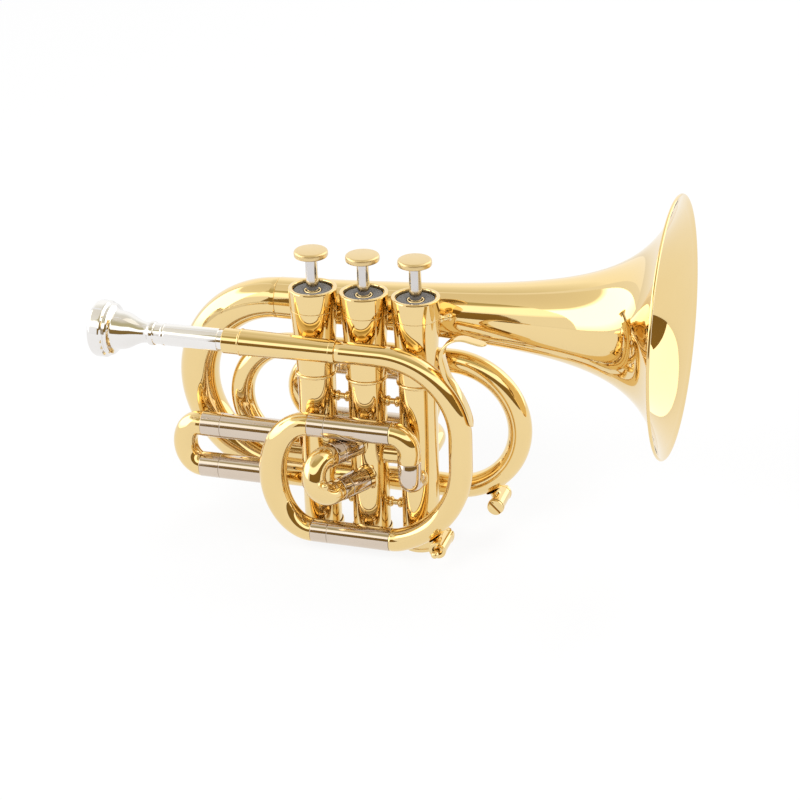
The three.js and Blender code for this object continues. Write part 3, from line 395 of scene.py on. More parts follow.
def tube(route: Route, radius: float | Radius, wall: float, sides: int = 44) -> Shape:
    """Sweeps an open-ended tube along a route, with slightly eased ends.

    Args:
        route: the centre line.
        radius: the outer radius, or a function of the distance travelled.
        wall: the wall thickness.
        sides: how many sides the tube has.

    Returns:
        The closed shape of the wall.
    """
    ease = 0.18
    radius_at = radius if callable(radius) else lambda travelled: radius
    first, last = route.stations[0], route.stations[-1]
    near = Station(first.point + first.heading * ease, first.heading, ease)
    far = Station(last.point - last.heading * ease, last.heading, last.travelled - ease)
    stations = [first, near, *route.stations[1:-1], far, last]

    def outside(travelled: float) -> float:
        """Returns the outer radius, which is a little less at each end."""
        at_end = travelled < ease / 2 or travelled > last.travelled - ease / 2
        return radius_at(travelled) - (ease if at_end else 0)

    outer = rings_along(stations, outside, sides)
    inner = rings_along(stations, lambda travelled: radius_at(travelled) - wall, sides)
    return skinned(outer + inner[::-1], closed=True)


def brazed(length: float, radius: float, fillet: float, far_fillet: bool = False) -> Outline:
    """Outlines a tube whose foot spreads in a small braze fillet.

    Args:
        length: the tube's length.
        radius: its radius.
        fillet: how far the braze spreads.
        far_fillet: whether the far end has a fillet too.

    Returns:
        The outline from the axis out and back to the axis.
    """
    steps = 5
    spread = []
    for step in range(steps + 1):
        angle = math.pi / 2 * step / steps
        spread.append((radius + fillet * (1 - math.sin(angle)), fillet * (1 - math.cos(angle))))
    top = [(r, length - h) for r, h in reversed(spread)] if far_fillet else [(radius, length)]
    return [(0, 0), *spread, *top, (0, length)]


# Shader graphs


class Wire:
    """A node's output, on which sums and products add their own Math nodes."""

    def __init__(self, graph: Graph, socket: bpy.types.NodeSocket) -> None:
        """Wraps a socket of a graph."""
        self.graph = graph
        self.socket = socket

    def sum_with(self, operation: str, first: Wire | float, second: Wire | float) -> Wire:
        """Returns the result of a Math node on two values."""
        return self.graph.node("ShaderNodeMath", {"operation": operation}, {0: first, 1: second})

    def __add__(self, other: Wire | float) -> Wire:
        """Returns this plus the other."""
        return self.sum_with("ADD", self, other)

    __radd__ = __add__

    def __sub__(self, other: Wire | float) -> Wire:
        """Returns this less the other."""
        return self.sum_with("SUBTRACT", self, other)

    def __rsub__(self, other: Wire | float) -> Wire:
        """Returns the other less this."""
        return self.sum_with("SUBTRACT", other, self)

    def __mul__(self, other: Wire | float) -> Wire:
        """Returns this times the other."""
        return self.sum_with("MULTIPLY", self, other)

    __rmul__ = __mul__


Settings = dict[str, object] | None
Inputs = dict[str | int, object] | None


class Graph:
    """Builds the nodes of one material or of the world."""

    def __init__(self, tree: bpy.types.NodeTree) -> None:
        """Empties a node tree and keeps it."""
        tree.nodes.clear()
        self.tree = tree

    def node(
        self, kind: str, settings: Settings = None, inputs: Inputs = None, output: int | str = 0
    ) -> Wire:
        """Adds a node.

        Args:
            kind: the node's type.
            settings: its properties, or the stops of a colour ramp.
            inputs: a value or a wire for each socket, by name or number.
            output: which output comes back.

        Returns:
            The chosen output.
        """
        node = self.tree.nodes.new(kind)
        for name, value in (settings or {}).items():
            if name == "stops":
                self.set_stops(node.color_ramp, value)
            else:
                setattr(node, name, value)
        for name, value in (inputs or {}).items():
            socket = node.inputs[name]
            if isinstance(value, Wire):
                self.tree.links.new(value.socket, socket)
            elif isinstance(value, tuple) and len(value) == 3 and socket.type == "RGBA":
                socket.default_value = (*value, 1)
            else:
                socket.default_value = value
        return Wire(self, node.outputs[output]) if len(node.outputs) else Wire(self, node.inputs[0])

    @staticmethod
    def set_stops(ramp: bpy.types.ColorRamp, stops: list[tuple[float, Colour]]) -> None:
        """Gives a colour ramp its stops.

        Args:
            ramp: the ramp.
            stops: a position and a colour each, in order.
        """
        while len(ramp.elements) > 1:
            ramp.elements.remove(ramp.elements[-1])
        for i, (position, colour) in enumerate(stops):
            stop = ramp.elements[0] if i == 0 else ramp.elements.new(position)
            stop.position = position
            stop.color = (*colour, 1)

    def mix(self, factor: Wire | float, first: Wire | Colour, second: Wire | Colour) -> Wire:
        """Returns a mix of two colours."""
        settings = {"data_type": "RGBA"}
        return self.node("ShaderNodeMix", settings, {0: factor, 6: first, 7: second}, 2)

    def place(self, stretch: Colour = (1, 1, 1)) -> Wire:
        """Returns the place on the object in metres, stretched along its axes."""
        where = self.node("ShaderNodeTexCoord", output="Object")
        return self.node("ShaderNodeVectorMath", {"operation": "MULTIPLY"}, {0: where, 1: stretch})

    def noise(self, scale: float, detail: float = 2, stretch: Colour = (1, 1, 1)) -> Wire:
        """Returns smooth noise of a scale in features a metre."""
        inputs = {"Vector": self.place(stretch), "Scale": scale, "Detail": detail}
        return self.node("ShaderNodeTexNoise", None, inputs)

    def bump(self, height: Wire, distance: float, normal: Wire | None = None) -> Wire:
        """Bumps a surface.

        Args:
            height: the pattern of the bumps.
            distance: their height in metres.
            normal: the normal that they lie over, if there is one.

        Returns:
            The bumped normal.
        """
        inputs = {"Height": height, "Distance": distance, "Strength": 1.0}
        if normal:
            inputs["Normal"] = normal
        return self.node("ShaderNodeBump", None, inputs)


def new_material(name: str, shader: Callable[[Graph], Wire]) -> bpy.types.Material:
    """Makes a material.

    Args:
        name: its name.
        shader: adds the shader's nodes to a graph.

    Returns:
        The material.
    """
    made = bpy.data.materials.new(name)
    made.use_nodes = True
    graph = Graph(made.node_tree)
    graph.node("ShaderNodeOutputMaterial", None, {"Surface": shader(graph)})
    return made


class Grain(Enum):
    """The way that a finish's fine marks run, as a stretch along X, Y and Z."""

    ALONG_X = (0.04, 1, 1)
    ALONG_Z = (1, 1, 0.04)
    ROUND_X = (1, 0.03, 0.03)
    EVEN = (1, 1, 1)


@dataclass(frozen=True)
class Finish:
    """A metal finish: its tint, its polish and the fine marks left by making and handling."""

    name: str
    slot: str
    tint: Colour
    deep_tint: Colour
    roughness: float
    roughness_spread: float
    coat: float = 0.0
    ripple: float = 0.0
    grain: Grain = Grain.EVEN
    grain_depth: float = 0.0

    def material(self) -> bpy.types.Material:
        """Returns the finish's material, which is made the first time."""
        return bpy.data.materials.get(self.name) or new_material(self.name, self.shader)

    def shader(self, graph: Graph) -> Wire:
        """Builds the metal's shader.

        Args:
            graph: where its nodes go.

        Returns:
            The shader.
        """
        cloud = graph.noise(38, 3)
        marks = graph.noise(1600, 3, self.grain.value)
        handling = graph.noise(210, 4)
        normal = graph.bump(graph.noise(52, 1), self.ripple)
        if self.grain_depth:
            normal = graph.bump(marks, self.grain_depth, normal)
        inputs = {
            "Base Color": graph.mix(cloud * 1.4 - 0.2, self.tint, self.deep_tint),
            "Metallic": 1.0,
            "Roughness": self.roughness + (marks * 0.5 + handling * 0.5) * self.roughness_spread,
            "Normal": normal,
            "Coat Weight": self.coat,
            "Coat Roughness": 0.04,
            "Coat IOR": 1.5,
        }
        return graph.node("ShaderNodeBsdfPrincipled", None, inputs)


@dataclass(frozen=True)
class Felt(Finish):
    """Pressed wool felt with short loose fibres."""

    def shader(self, graph: Graph) -> Wire:
        """Builds the felt's shader from clumps and fine fibres.

        Args:
            graph: where its nodes go.

        Returns:
            The shader.
        """
        clumps = graph.noise(700, 3)
        fibres = graph.noise(5200, 4)
        inputs = {
            "Base Color": graph.mix(clumps * 0.6 + fibres * 0.5, self.deep_tint, self.tint),
            "Roughness": self.roughness + fibres * self.roughness_spread,
            "Normal": graph.bump(fibres * 0.6 + clumps * 0.4, self.ripple),
            "Sheen Weight": 0.35,
            "Sheen Roughness": 0.5,
        }
        return graph.node("ShaderNodeBsdfPrincipled", None, inputs)


BRASS = Finish(
    "polished_brass", "lacquered_brass", (0.85, 0.645, 0.31), (0.83, 0.62, 0.285),
    roughness=0.02, roughness_spread=0.03, coat=0.35, ripple=0.00006,
)
BRASS_SPUN = Finish(
    "spun_brass", "lacquered_brass", (0.78, 0.6, 0.31), (0.75, 0.56, 0.27),
    roughness=0.26, roughness_spread=0.1, coat=0.25, ripple=0.00005, grain_depth=0.000004,
)
NICKEL = Finish(
    "polished_nickel", "nickel_silver", (0.71, 0.61, 0.51), (0.65, 0.55, 0.45),
    roughness=0.05, roughness_spread=0.06, ripple=0.00003, grain=Grain.ALONG_X, grain_depth=0.0000006,
)
NICKEL_STEM = Finish(
    "nickel_stem", "nickel_silver", (0.72, 0.70, 0.69), (0.62, 0.59, 0.58),
    roughness=0.1, roughness_spread=0.1, ripple=0.00004, grain=Grain.ALONG_Z, grain_depth=0.000002,
)
SILVER = Finish(
    "polished_silver", "silver_plate", (0.86, 0.84, 0.82), (0.8, 0.78, 0.76),
    roughness=0.04, roughness_spread=0.06, ripple=0.00004, grain=Grain.ROUND_X, grain_depth=0.000001,
)
STEEL = Finish(
    "drawn_steel", "spring_steel", (0.42, 0.43, 0.45), (0.3, 0.3, 0.32),
    roughness=0.3, roughness_spread=0.15, ripple=0.00003,
)
FELT = Felt(
    "wool_felt", "felt", (0.12, 0.11, 0.1), (0.045, 0.04, 0.036),
    roughness=0.92, roughness_spread=0.04, ripple=0.0002,
)


# Objects


def placed(name: str, content: bpy.types.ID) -> bpy.types.Object:
    """Makes an object of a mesh, lamp or camera and puts it in the scene.

    Args:
        name: the object's name.
        content: what it shows.

    Returns:
        The object.
    """
    made = bpy.data.objects.new(name, content)
    bpy.context.scene.collection.objects.link(made)
    return made


def stand_in(node: str, shape: Shape, finish: Finish) -> bpy.types.Object:
    """Makes an object that stands for a node of the frame and rides on the same body.

    Args:
        node: the node's name.
        shape: the piece in millimetres.
        finish: what it is finished in.

    Returns:
        The new object.
    """
    mesh = bpy.data.meshes.new(f"{node}_fine")
    mesh.from_pydata([point * MM for point in shape.points], [], shape.faces)
    edit = bmesh.new()
    edit.from_mesh(mesh)
    bmesh.ops.recalc_face_normals(edit, faces=edit.faces)
    edit.to_mesh(mesh)
    edit.free()
    mesh.shade_smooth()
    mesh.set_sharp_from_angle(angle=SHARP_ANGLE)
    piece = placed(f"{node}_fine", mesh)
    mesh.materials.append(finish.material())
    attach(piece, body_of(frame["nodes"][node])[0])
    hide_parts(node)
    LOG.info("%s: %d faces in %s", node, len(mesh.polygons), finish.name)
    return piece


def keep_node(node: str, finish: Finish) -> None:
    """Gives a node of the frame, which stays as it is, a finish.

    Args:
        node: the node's name.
        finish: what it is finished in.
    """
    for slot in frame["nodes"][node].material_slots:
        slot.material = finish.material()
    LOG.info("%s: kept in %s", node, finish.name)


# The valves


@dataclass(frozen=True)
class Port:
    """A tube that meets a valve: its bearing, its height and its sideways offset."""

    bearing: float
    height: float
    offset: float = 0.0

    def point(self, distance: float) -> Vector:
        """Returns the point on the port's centre line at a distance from the valve's axis."""
        sideways = bearing(self.bearing + 90) * self.offset
        return bearing(self.bearing) * distance + sideways + UP * self.height


FIRST_PORTS = (Port(180, FIRST_UPPER), Port(180, FIRST_LOWER), Port(90, INNER_BOW))
SECOND_PORTS = (Port(240, 57.1, 1.5), Port(240, 39.5, 6))
INLET_PORT = Port(270, INLET)
FIRST_REACHES = (18.7, 18.7, 12.0)
SECOND_REACH = 9.6
INLET_REACH = 10.7


@dataclass
class ValveBlock:
    """The three valves: casings, caps, felts, stems, buttons, pistons and springs."""

    pitch: float = 26.0
    casing: float = 9.5
    wall: float = 0.9
    waist: float = 90.4
    cap_foot: float = 124.46
    knuckle: float = 5.6
    crossings: tuple[tuple[float, float], ...] = ((0, 50.0), (180, 35.0))
    posts: tuple[float, ...] = (78, 22)
    post_waist: float = 1.5
    post_bead: float = 2.7
    sunk: float = 0.4
    stroke: float = 17.0
    spring: float = 5.2
    spring_wire: float = 0.5
    spring_turns: int = 7

    def build(self) -> None:
        """Builds the three valves."""
        all_fittings = (self.first_fittings, self.second_fittings, self.third_fittings)
        for number, fittings in enumerate(all_fittings, start=1):
            middle = ALONG * self.pitch * (number - 2)
            pieces = (
                ("valve_casing", self.casing_shell().add(fittings()), BRASS),
                ("bottom_cap", self.bottom_cap(), BRASS),
                ("top_cap", self.top_cap(), BRASS),
                ("cap_felt", self.felt(), FELT),
                ("valve_stem", self.stem(), NICKEL_STEM),
                ("finger_button", self.button(), BRASS_SPUN),
            )
            for name, shape, finish in pieces:
                stand_in(f"{name}_{number}", shape.moved(middle), finish)
            keep_node(f"piston_{number}", NICKEL_STEM)
            self.build_spring(number, middle)

    def casing_shell(self) -> Shape:
        """Turns a casing: a plain barrel, a waist bead and a flare up to the top cap.

        Returns:
            The casing without its fittings.
        """
        bore = self.casing - self.wall
        waist = self.waist
        outline = [
            (bore, 2.3), (self.casing, 2.3), (self.casing, waist - 0.9), (10.2, waist - 0.75),
            (10.5, waist - 0.3), (10.5, waist + 0.3), (10.2, waist + 0.75), (9.6, waist + 0.9),
            (9.9, 98.0), (10.45, 108.0), (11.05, 118.0), (11.5, 124.4), (10.3, 124.4),
            (10.3, 130.0), (9.1, 130.0), (9.1, waist + 0.3), (bore, waist + 0.3),
        ]
        return turned(outline, sides=96, ease=0.16)

    def bottom_cap(self) -> Shape:
        """Turns a bottom cap with a stepped foot, a grip band and a vent.

        Returns:
            The cap.
        """
        vent = 2.5
        skirt = self.casing + SEAT_GAP
        outline = [
            (vent, 0.35), (6.6, 0.0), (9.4, 0.0), (10.1, 0.45), (10.35, 1.3), (10.4, 1.5),
            (10.4, 2.2), (10.15, 2.4), (10.15, 2.75), (10.4, 2.95), (10.4, 7.3), (10.25, 7.8),
            (10.05, 8.0), (skirt, 8.0), (skirt, 2.0), (vent, 2.0),
        ]
        return turned(outline, sides=96, ease=0.12)

    def top_cap(self) -> Shape:
        """Turns a top cap with a rolled rim, a deep recess and a bush round the stem.

        Returns:
            The cap.
        """
        hole = 3.5
        outline = [
            (hole, 130.3), (10.6, 130.3), (10.6, self.cap_foot), (11.55, self.cap_foot),
            (11.62, 124.9), (11.85, 133.2), (11.9, 134.1), (11.72, 134.75), (11.25, 135.0),
            (10.45, 135.0), (9.98, 134.8), (9.8, 134.3), (9.8, 131.7), (4.25, 131.7),
            (4.25, 133.1), (4.1, 133.4), (3.65, 133.4), (hole, 133.1),
        ]
        return turned(outline, sides=96, ease=0.14)

    def felt(self) -> Shape:
        """Turns the felt ring in a top cap, with a softly worn top.

        Returns:
            The ring.
        """
        outline = [
            (4.5, 132.0), (9.5, 132.0), (9.5, 132.9), (9.2, 133.3),
            (8.6, 133.4), (5.3, 133.4), (4.7, 133.25), (4.5, 132.9),
        ]
        return turned(outline, sides=96, ease=0.2)

    def stem(self) -> Shape:
        """Returns a stem with the flange that the spring lifts."""
        outline = [(0, 128.2), (7.8, 128.2), (7.8, 129.7), (3.0, 129.7), (3.0, 150.4), (0, 150.4)]
        return turned(outline, sides=56, ease=0.15)

    def button(self) -> Shape:
        """Turns a finger button: a thick flat disc with eased edges.

        Returns:
            The button.
        """
        outline = [
            (0, 150.7), (7.6, 150.7), (8.1, 151.0), (8.28, 151.6), (8.28, 152.8),
            (8.1, 153.45), (7.6, 153.88), (6.9, 154.0), (0, 154.0),
        ]
        return turned(outline, sides=72, ease=0.25)

    def build_spring(self, number: int, middle: Vector) -> None:
        """Builds a valve's spring: a coil of wire from the foot to the head of the imported spring.

        Args:
            number: which valve it is in.
            middle: the foot of the valve's axis.
        """
        lowest, highest = (corner[2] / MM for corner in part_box(f"valve_spring_{number}"))
        wire = self.spring_wire
        per_turn = 24
        steps = self.spring_turns * per_turn
        rings = []
        for step in range(steps + 1):
            outward = bearing(360 * step / per_turn)
            height = blend(lowest + wire, highest - wire, step / steps)
            centre = outward * self.spring + UP * height
            rings.append([centre + (outward * c + UP * s) * wire for c, s in circle(8)])
        piece = stand_in(f"valve_spring_{number}", skinned(rings).moved(middle), STEEL)
        joint = ("first", "second", "third")[number - 1] + "_valve_press"
        (middle + UP * lowest) * MM
        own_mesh(piece)

    def fitting(self, port: Port, reach: float) -> Shape:
        """Makes a knuckle from the casing out, with a braze fillet at its foot.

        Args:
            port: the port that it serves.
            reach: how far from the valve's axis it ends.

        Returns:
            The knuckle.
        """
        root = 1.2
        foot = port.point(math.sqrt(self.casing**2 - port.offset**2) - root)
        line = port.point(reach) - foot
        return turned(brazed(line.length, self.knuckle, fillet=0.9), sides=48, ease=0).aimed(foot, line)

    def spool(self, start: Vector, end: Vector, waist: float = 0.0, bead: float = 0.0) -> Shape:
        """Makes a post with a ball at each end and a narrow waist.

        Args:
            start: where it starts.
            end: where it ends.
            waist: its radius halfway, if it isn't a common post.
            bead: the balls' radius, if it isn't a common post.

        Returns:
            The post.
        """
        thin = waist or self.post_waist
        thick = bead or self.post_bead
        length = (end - start).length
        ball = 0.36
        half = []
        for share in (0, 0.06, 0.12, 0.18, 0.24, 0.3, 0.36, 0.42):
            swell = math.sin(math.pi * share / ball) ** 0.7 if share < ball else 0
            half.append((thin + (thick - thin) * swell, share * length))
        far_half = [(radius, length - height) for radius, height in reversed(half)]
        outline = [(0, 0), *half, *far_half, (0, length)]
        return turned(outline, sides=32, ease=0).aimed(start, end - start)

    def brace(self, height: float, radius: float) -> Shape:
        """Returns a post from the casing to a tube of a radius in the bell's plane."""
        start = Vector((0, self.casing - self.sunk, height))
        return self.spool(start, Vector((0, BELL_PLANE - radius, height)))

    def first_fittings(self) -> Shape:
        """Returns the knuckles and braces of the first casing."""
        knuckles = [self.fitting(port, reach) for port, reach in zip(FIRST_PORTS, FIRST_REACHES)]
        return Shape().add(*knuckles, self.brace(UPPER_BOW, 6.3), self.brace(LOWER_BOW, 8.0))

    def second_fittings(self) -> Shape:
        """Makes the knuckles, crossings, posts and pads of the second casing.

        Returns:
            The fittings.
        """
        shape = Shape().add(*(self.fitting(port, SECOND_REACH) for port in SECOND_PORTS))
        gap = self.pitch - self.casing
        for side, height in self.crossings:
            start = bearing(side) * (self.casing - 1.0) + UP * height
            crossing = brazed(gap - self.casing + 1.8, self.knuckle, fillet=0.8, far_fillet=True)
            shape.add(turned(crossing, sides=48, ease=0).aimed(start, bearing(side)))
        for side in (-1, 1):
            for height in self.posts:
                start = Vector((side * (self.casing - self.sunk), 0, height))
                shape.add(self.spool(start, Vector((side * (gap + 0.2), 0, height))))
        for height, radius in ((LEAD_HEIGHT, 5.3), (TUNING_UPPER, 5.85)):
            start = Vector((0, -self.casing + self.sunk, height))
            length = -(LEAD_PLANE + radius) - self.casing + 0.6
            pad = brazed(length, radius=2.4, fillet=0.6, far_fillet=True)
            shape.add(turned(pad, sides=32, ease=0).aimed(start, -LEFT))
        return shape

    def third_fittings(self) -> Shape:
        """Makes the inlet, slide elbows, braces and bell brace of the third casing.

        Returns:
            The fittings.
        """
        shape = Shape().add(self.fitting(INLET_PORT, INLET_REACH))
        start_x = THIRD_JOINT - self.pitch
        bend = 12.0
        overlap = 1.5
        hoop_back = 3.1
        upper_port = 62
        fall = math.atan2(THIRD_UPPER - upper_port, THIRD_PLANE - (self.casing - self.wall))
        down = Vector((0, -math.cos(fall), -math.sin(fall)))
        collar = [(5.4, 0), (6.1, 0), (6.1, 1.6), (5.4, 1.6)]
        for height, inward in ((THIRD_LOWER, -LEFT), (THIRD_UPPER, down)):
            route = Route(Vector((start_x, THIRD_PLANE, height)), ALONG)
            route.run(-start_x - bend).bend(bend, 90, inward)
            route.run(THIRD_PLANE / -inward.y - bend - self.casing + overlap)
            last = route.stations[-1]
            foot = last.point - last.heading * hoop_back
            hoop = turned(collar, sides=48, ease=0.3).aimed(foot, last.heading)
            shape.add(tube(route, self.knuckle, self.wall), hoop)
        shape.add(self.brace(UPPER_BOW, 6.3), self.brace(LOWER_BOW, 6.3))
        outward = bearing(35)
        foot = outward * 10.9 + UP * 121.3
        length = 7.2
        return shape.add(self.spool(foot, foot + outward * length, waist=1.3, bead=2.0))


# The slides


@dataclass(frozen=True)
class SlideSizes:
    """The tube sizes of a slide."""

    outer: float = 5.85
    outer_wall: float = 0.6
    leg: float = 4.95
    leg_wall: float = 0.55
    crook: float = 5.8
    crook_wall: float = 0.7

    def outer_tube(self, length: float) -> Shape:
        """Makes an outer tube.

        Args:
            length: its length.

        Returns:
            The tube, standing on its open mouth.
        """
        bore = self.outer - self.outer_wall
        outline = [(bore, 0), (self.outer, 0), (self.outer, length), (bore, length)]
        return turned(outline, sides=56, ease=0.22)

    def leg_tube(self, ferrule: float, length: float) -> Shape:
        """Makes an inner leg with the ferrule that joins it to the crook.

        Args:
            ferrule: the ferrule's length.
            length: the leg's length beyond it.

        Returns:
            The leg, standing on its ferrule.
        """
        bore = self.leg - self.leg_wall
        end = ferrule + length
        body = [(self.outer, 0), (self.outer, ferrule), (self.leg, ferrule), (self.leg, end)]
        return turned([(bore, 0), *body, (bore, end)], sides=56, ease=0.22)


@dataclass
class Slide:
    """A pull slide: a crook, two legs and the two outer tubes that they run in."""

    name: str
    feet: tuple[Vector, Vector]
    heading: Vector
    ferrule: float
    leg: float
    outers: tuple[float, float]
    bend: float = 0.0
    straight: float = 0.0
    reach: float = 0.0
    swell: float = 0.0
    sizes: SlideSizes = SlideSizes()

    def build(self, extra: Shape | None = None) -> None:
        """Builds the slide's five pieces.

        Args:
            extra: what else is brazed to the crook.
        """
        route = self.crook_route()

        def radius_at(travelled: float) -> float:
            """Returns the crook's radius, which swells halfway."""
            return self.sizes.crook + self.swell * math.sin(math.pi * travelled / route.travelled)

        crook = tube(route, radius_at, self.sizes.crook_wall)
        stand_in(f"{self.name}_crook", crook.add(extra) if extra else crook, BRASS)
        for level, foot, length in zip(("upper", "lower"), self.feet, self.outers):
            leg = self.sizes.leg_tube(self.ferrule, self.leg).aimed(foot, self.heading)
            stand_in(f"{self.name}_leg_{level}", leg, NICKEL)
            start = foot + self.heading * (self.ferrule + JOINT)
            outer = self.sizes.outer_tube(length).aimed(start, self.heading)
            stand_in(f"{self.name}_outer_{level}", outer, NICKEL)

    def crook_route(self) -> Route:
        """Draws the crook from the upper foot round to the lower one.

        Returns:
            The crook's centre line.
        """
        upper, lower = self.feet
        lead = (upper - lower).dot(self.heading)
        down = lower - upper + self.heading * lead
        route = Route(upper - self.heading * JOINT, -self.heading)
        if self.straight + lead > 0:
            route.run(self.straight + lead)
        if self.reach:
            route.oval(self.reach, down)
        elif down.length - 2 * self.bend < 0.1:
            route.bend(down.length / 2, 180, down)
        else:
            route.bend(self.bend, 90, down).run(down.length - 2 * self.bend)
            route.bend(self.bend, 90, self.heading)
        if self.straight:
            route.run(self.straight)
        return route


def build_slides(valves: ValveBlock) -> None:
    """Builds the tuning slide and the three valve slides.

    Args:
        valves: the valves that the slides belong to.
    """
    tuning = Slide(
        "tuning_slide",
        (Vector((-24.6, LEAD_PLANE, TUNING_UPPER)), Vector((-25.5, LEAD_PLANE, TUNING_LOWER))),
        ALONG, ferrule=8.6, leg=30.2, outers=(33.0, 32.2), reach=19.6, swell=1.15,
    )
    first = Slide(
        "first_slide",
        (Vector((-88.3, 0, FIRST_UPPER)), Vector((-90.5, 0, FIRST_LOWER))),
        ALONG, ferrule=10.5, leg=26, outers=(32.4, 34.6), reach=8.5,
        sizes=SlideSizes(outer=6.4, crook=6.2),
    )
    third = Slide(
        "third_slide",
        (Vector((-33.5, THIRD_PLANE, THIRD_UPPER)), Vector((-33.5, THIRD_PLANE, THIRD_LOWER))),
        ALONG, ferrule=8.5, leg=24, outers=(32, 32), bend=15.642,
    )
    for slide in (tuning, first, third):
        slide.build()
    build_second_slide()
    build_third_slide_ring(valves)


def build_second_slide() -> None:
    """Builds the short second slide, which stands out to the player's right, with its knob."""
    outward = bearing(SECOND_PORTS[0].bearing)
    reach = 26.1
    straight = 4.2
    feet = tuple(port.point(reach) for port in SECOND_PORTS)
    bend = (feet[1] - feet[0]).length / 2
    top = (feet[0] + feet[1]) / 2 + outward * (JOINT + straight + bend)
    knob = pull_knob(top, bearing(SECOND_PORTS[0].bearing + 90))
    slide = Slide(
        "second_slide", feet, -outward,
        ferrule=5, leg=10, outers=(10.9, 10.9), bend=bend, straight=straight,
    )
    slide.build(knob)


def pull_knob(middle: Vector, sideways: Vector) -> Shape:
    """Makes the second slide's pull knob: a collar and a ball.

    Args:
        middle: the furthest point of the crook's centre line.
        sideways: the way the knob points.

    Returns:
        The knob in place on the crook's bend.
    """
    ball = 1.9
    centre = 2.45
    seat = 5.35
    outline = [(0, 0), (2.4, 0), (2.3, 0.7), (1.7, 0.9)]
    for step in range(8):
        angle = math.radians(blend(-52, 90, step / 8))
        outline.append((ball * math.cos(angle), centre + ball * math.sin(angle)))
    outline.append((0, centre + ball))
    return turned(outline, sides=32, ease=0).aimed(middle + sideways * seat, sideways)


def build_third_slide_ring(valves: ValveBlock) -> None:
    """Builds the third slide's brace and the finger ring on its upper tube.

    Args:
        valves: the valves, whose posts the brace is like.
    """
    brace_x, brace_foot, brace_top = -8, 52.6, 72.4
    foot = Vector((brace_x, THIRD_PLANE, brace_foot))
    brace = valves.spool(foot, Vector((brace_x, THIRD_PLANE, brace_top)))
    stand_in("third_slide_brace", brace, BRASS)
    ring_x, wire, radius = -12, 1.3, 9.5
    middle = Vector((ring_x, THIRD_PLANE, THIRD_UPPER + SlideSizes.outer + SEAT_GAP + radius + wire))
    rings = []
    for across, upward in circle(60):
        arm = ALONG * across + UP * upward
        rings.append([middle + arm * (radius + wire * c) + LEFT * wire * s for c, s in circle(20)])
    stand_in("third_slide_ring", skinned(rings, closed=True), BRASS)


# The lead side


@dataclass
class WaterKey:
    """A sprung water key: a barrel across a tube, a plunger and a slotted screw."""

    number: int
    middle: Vector
    foot: Vector
    side: float
    barrel: float = 4.3
    length: float = 16.0
    bore: float = 2.6

    def barrel_shape(self) -> Shape:
        """Makes the barrel with raised end rings, and the saddle under it.

        Returns:
            The barrel in place.
        """
        half = self.length / 2
        thin = self.barrel - 0.25
        outline = [
            (self.bore, -half), (self.barrel, -half), (self.barrel, -half + 1.5), (thin, -half + 1.8),
            (thin, half - 1.8), (self.barrel, half - 1.5), (self.barrel, half), (self.bore, half),
        ]
        barrel = turned(outline, sides=48, ease=0.25).aimed(self.middle, LEFT)
        line = self.middle - self.foot
        saddle = turned(brazed(line.length, radius=2.8, fillet=1.6), sides=32, ease=0)
        return barrel.add(saddle.aimed(self.foot, line))

    def build(self) -> None:
        """Builds the plunger and the screw that slide and sit in the barrel."""
        away = LEFT * self.side
        half = self.length / 2
        neck = 1.3
        button = half + 2.5 + SEAT_GAP
        shaft = self.bore - SEAT_GAP
        outline = [
            (0, -half + 6.1), (shaft, -half + 6.1), (shaft, half - 1.5), (neck, half - 1.2),
            (neck, button), (1.75, button + 0.35), (1.9, button + 0.9), (1.85, button + 1.7),
            (1.5, button + 2.5), (0.8, button + 2.95), (0, button + 3.04),
        ]
        plunger = turned(outline, sides=32, ease=0.1).aimed(self.middle, away)
        stand_in(f"water_key_plunger_{self.number}", plunger, BRASS)
        stand_in(f"water_key_screw_{self.number}", self.screw().aimed(self.middle, -away), BRASS)

    def screw(self) -> Shape:
        """Makes the cheese-headed screw with a straight slot across its head.

        Returns:
            The screw, with its barrel's middle at the origin.
        """
        half = self.length / 2
        seat = half + SEAT_GAP
        floor = seat + 0.25
        top = seat + 1.2
        head = 4.05
        slot = 0.45
        shank = [(0, half - 3), (2.3, half - 3), (2.3, seat + 0.2), (0, seat + 0.2)]
        disc = [(0, seat), (head, seat), (head, floor + 0.02), (0, floor + 0.02)]
        turn = Matrix.Rotation(math.radians(-45), 3, UP)
        start = math.asin(slot / head)
        shape = Shape()
        for sign in (-1, 1):
            outline = []
            for step in range(25):
                angle = blend(start, math.pi - start, step / 24)
                outline.append(turn @ Vector((head * math.cos(angle), sign * head * math.sin(angle), 0)))
            shape.add(prism(outline, floor, top, 0.2))
        return shape.add(turned(disc, sides=48, ease=0.08), turned(shank, sides=32, ease=0.1))


def prism(outline: list[Vector], foot: float, top: float, bevel: float) -> Shape:
    """Makes an upright prism with a bevelled top edge.

    Args:
        outline: its plan.
        foot: the height of its foot.
        top: the height of its top.
        bevel: how far the top edge is cut back.

    Returns:
        The closed prism.
    """
    centre = sum(outline, Vector()) / len(outline)
    rings = []
    for height, inset in ((foot, 0), (top - bevel, 0), (top - bevel * 0.3, bevel * 0.3), (top, bevel)):
        ring = [corner + (centre - corner).normalized() * inset for corner in outline]
        rings.append([corner + UP * height for corner in ring])
    return skinned(rings)


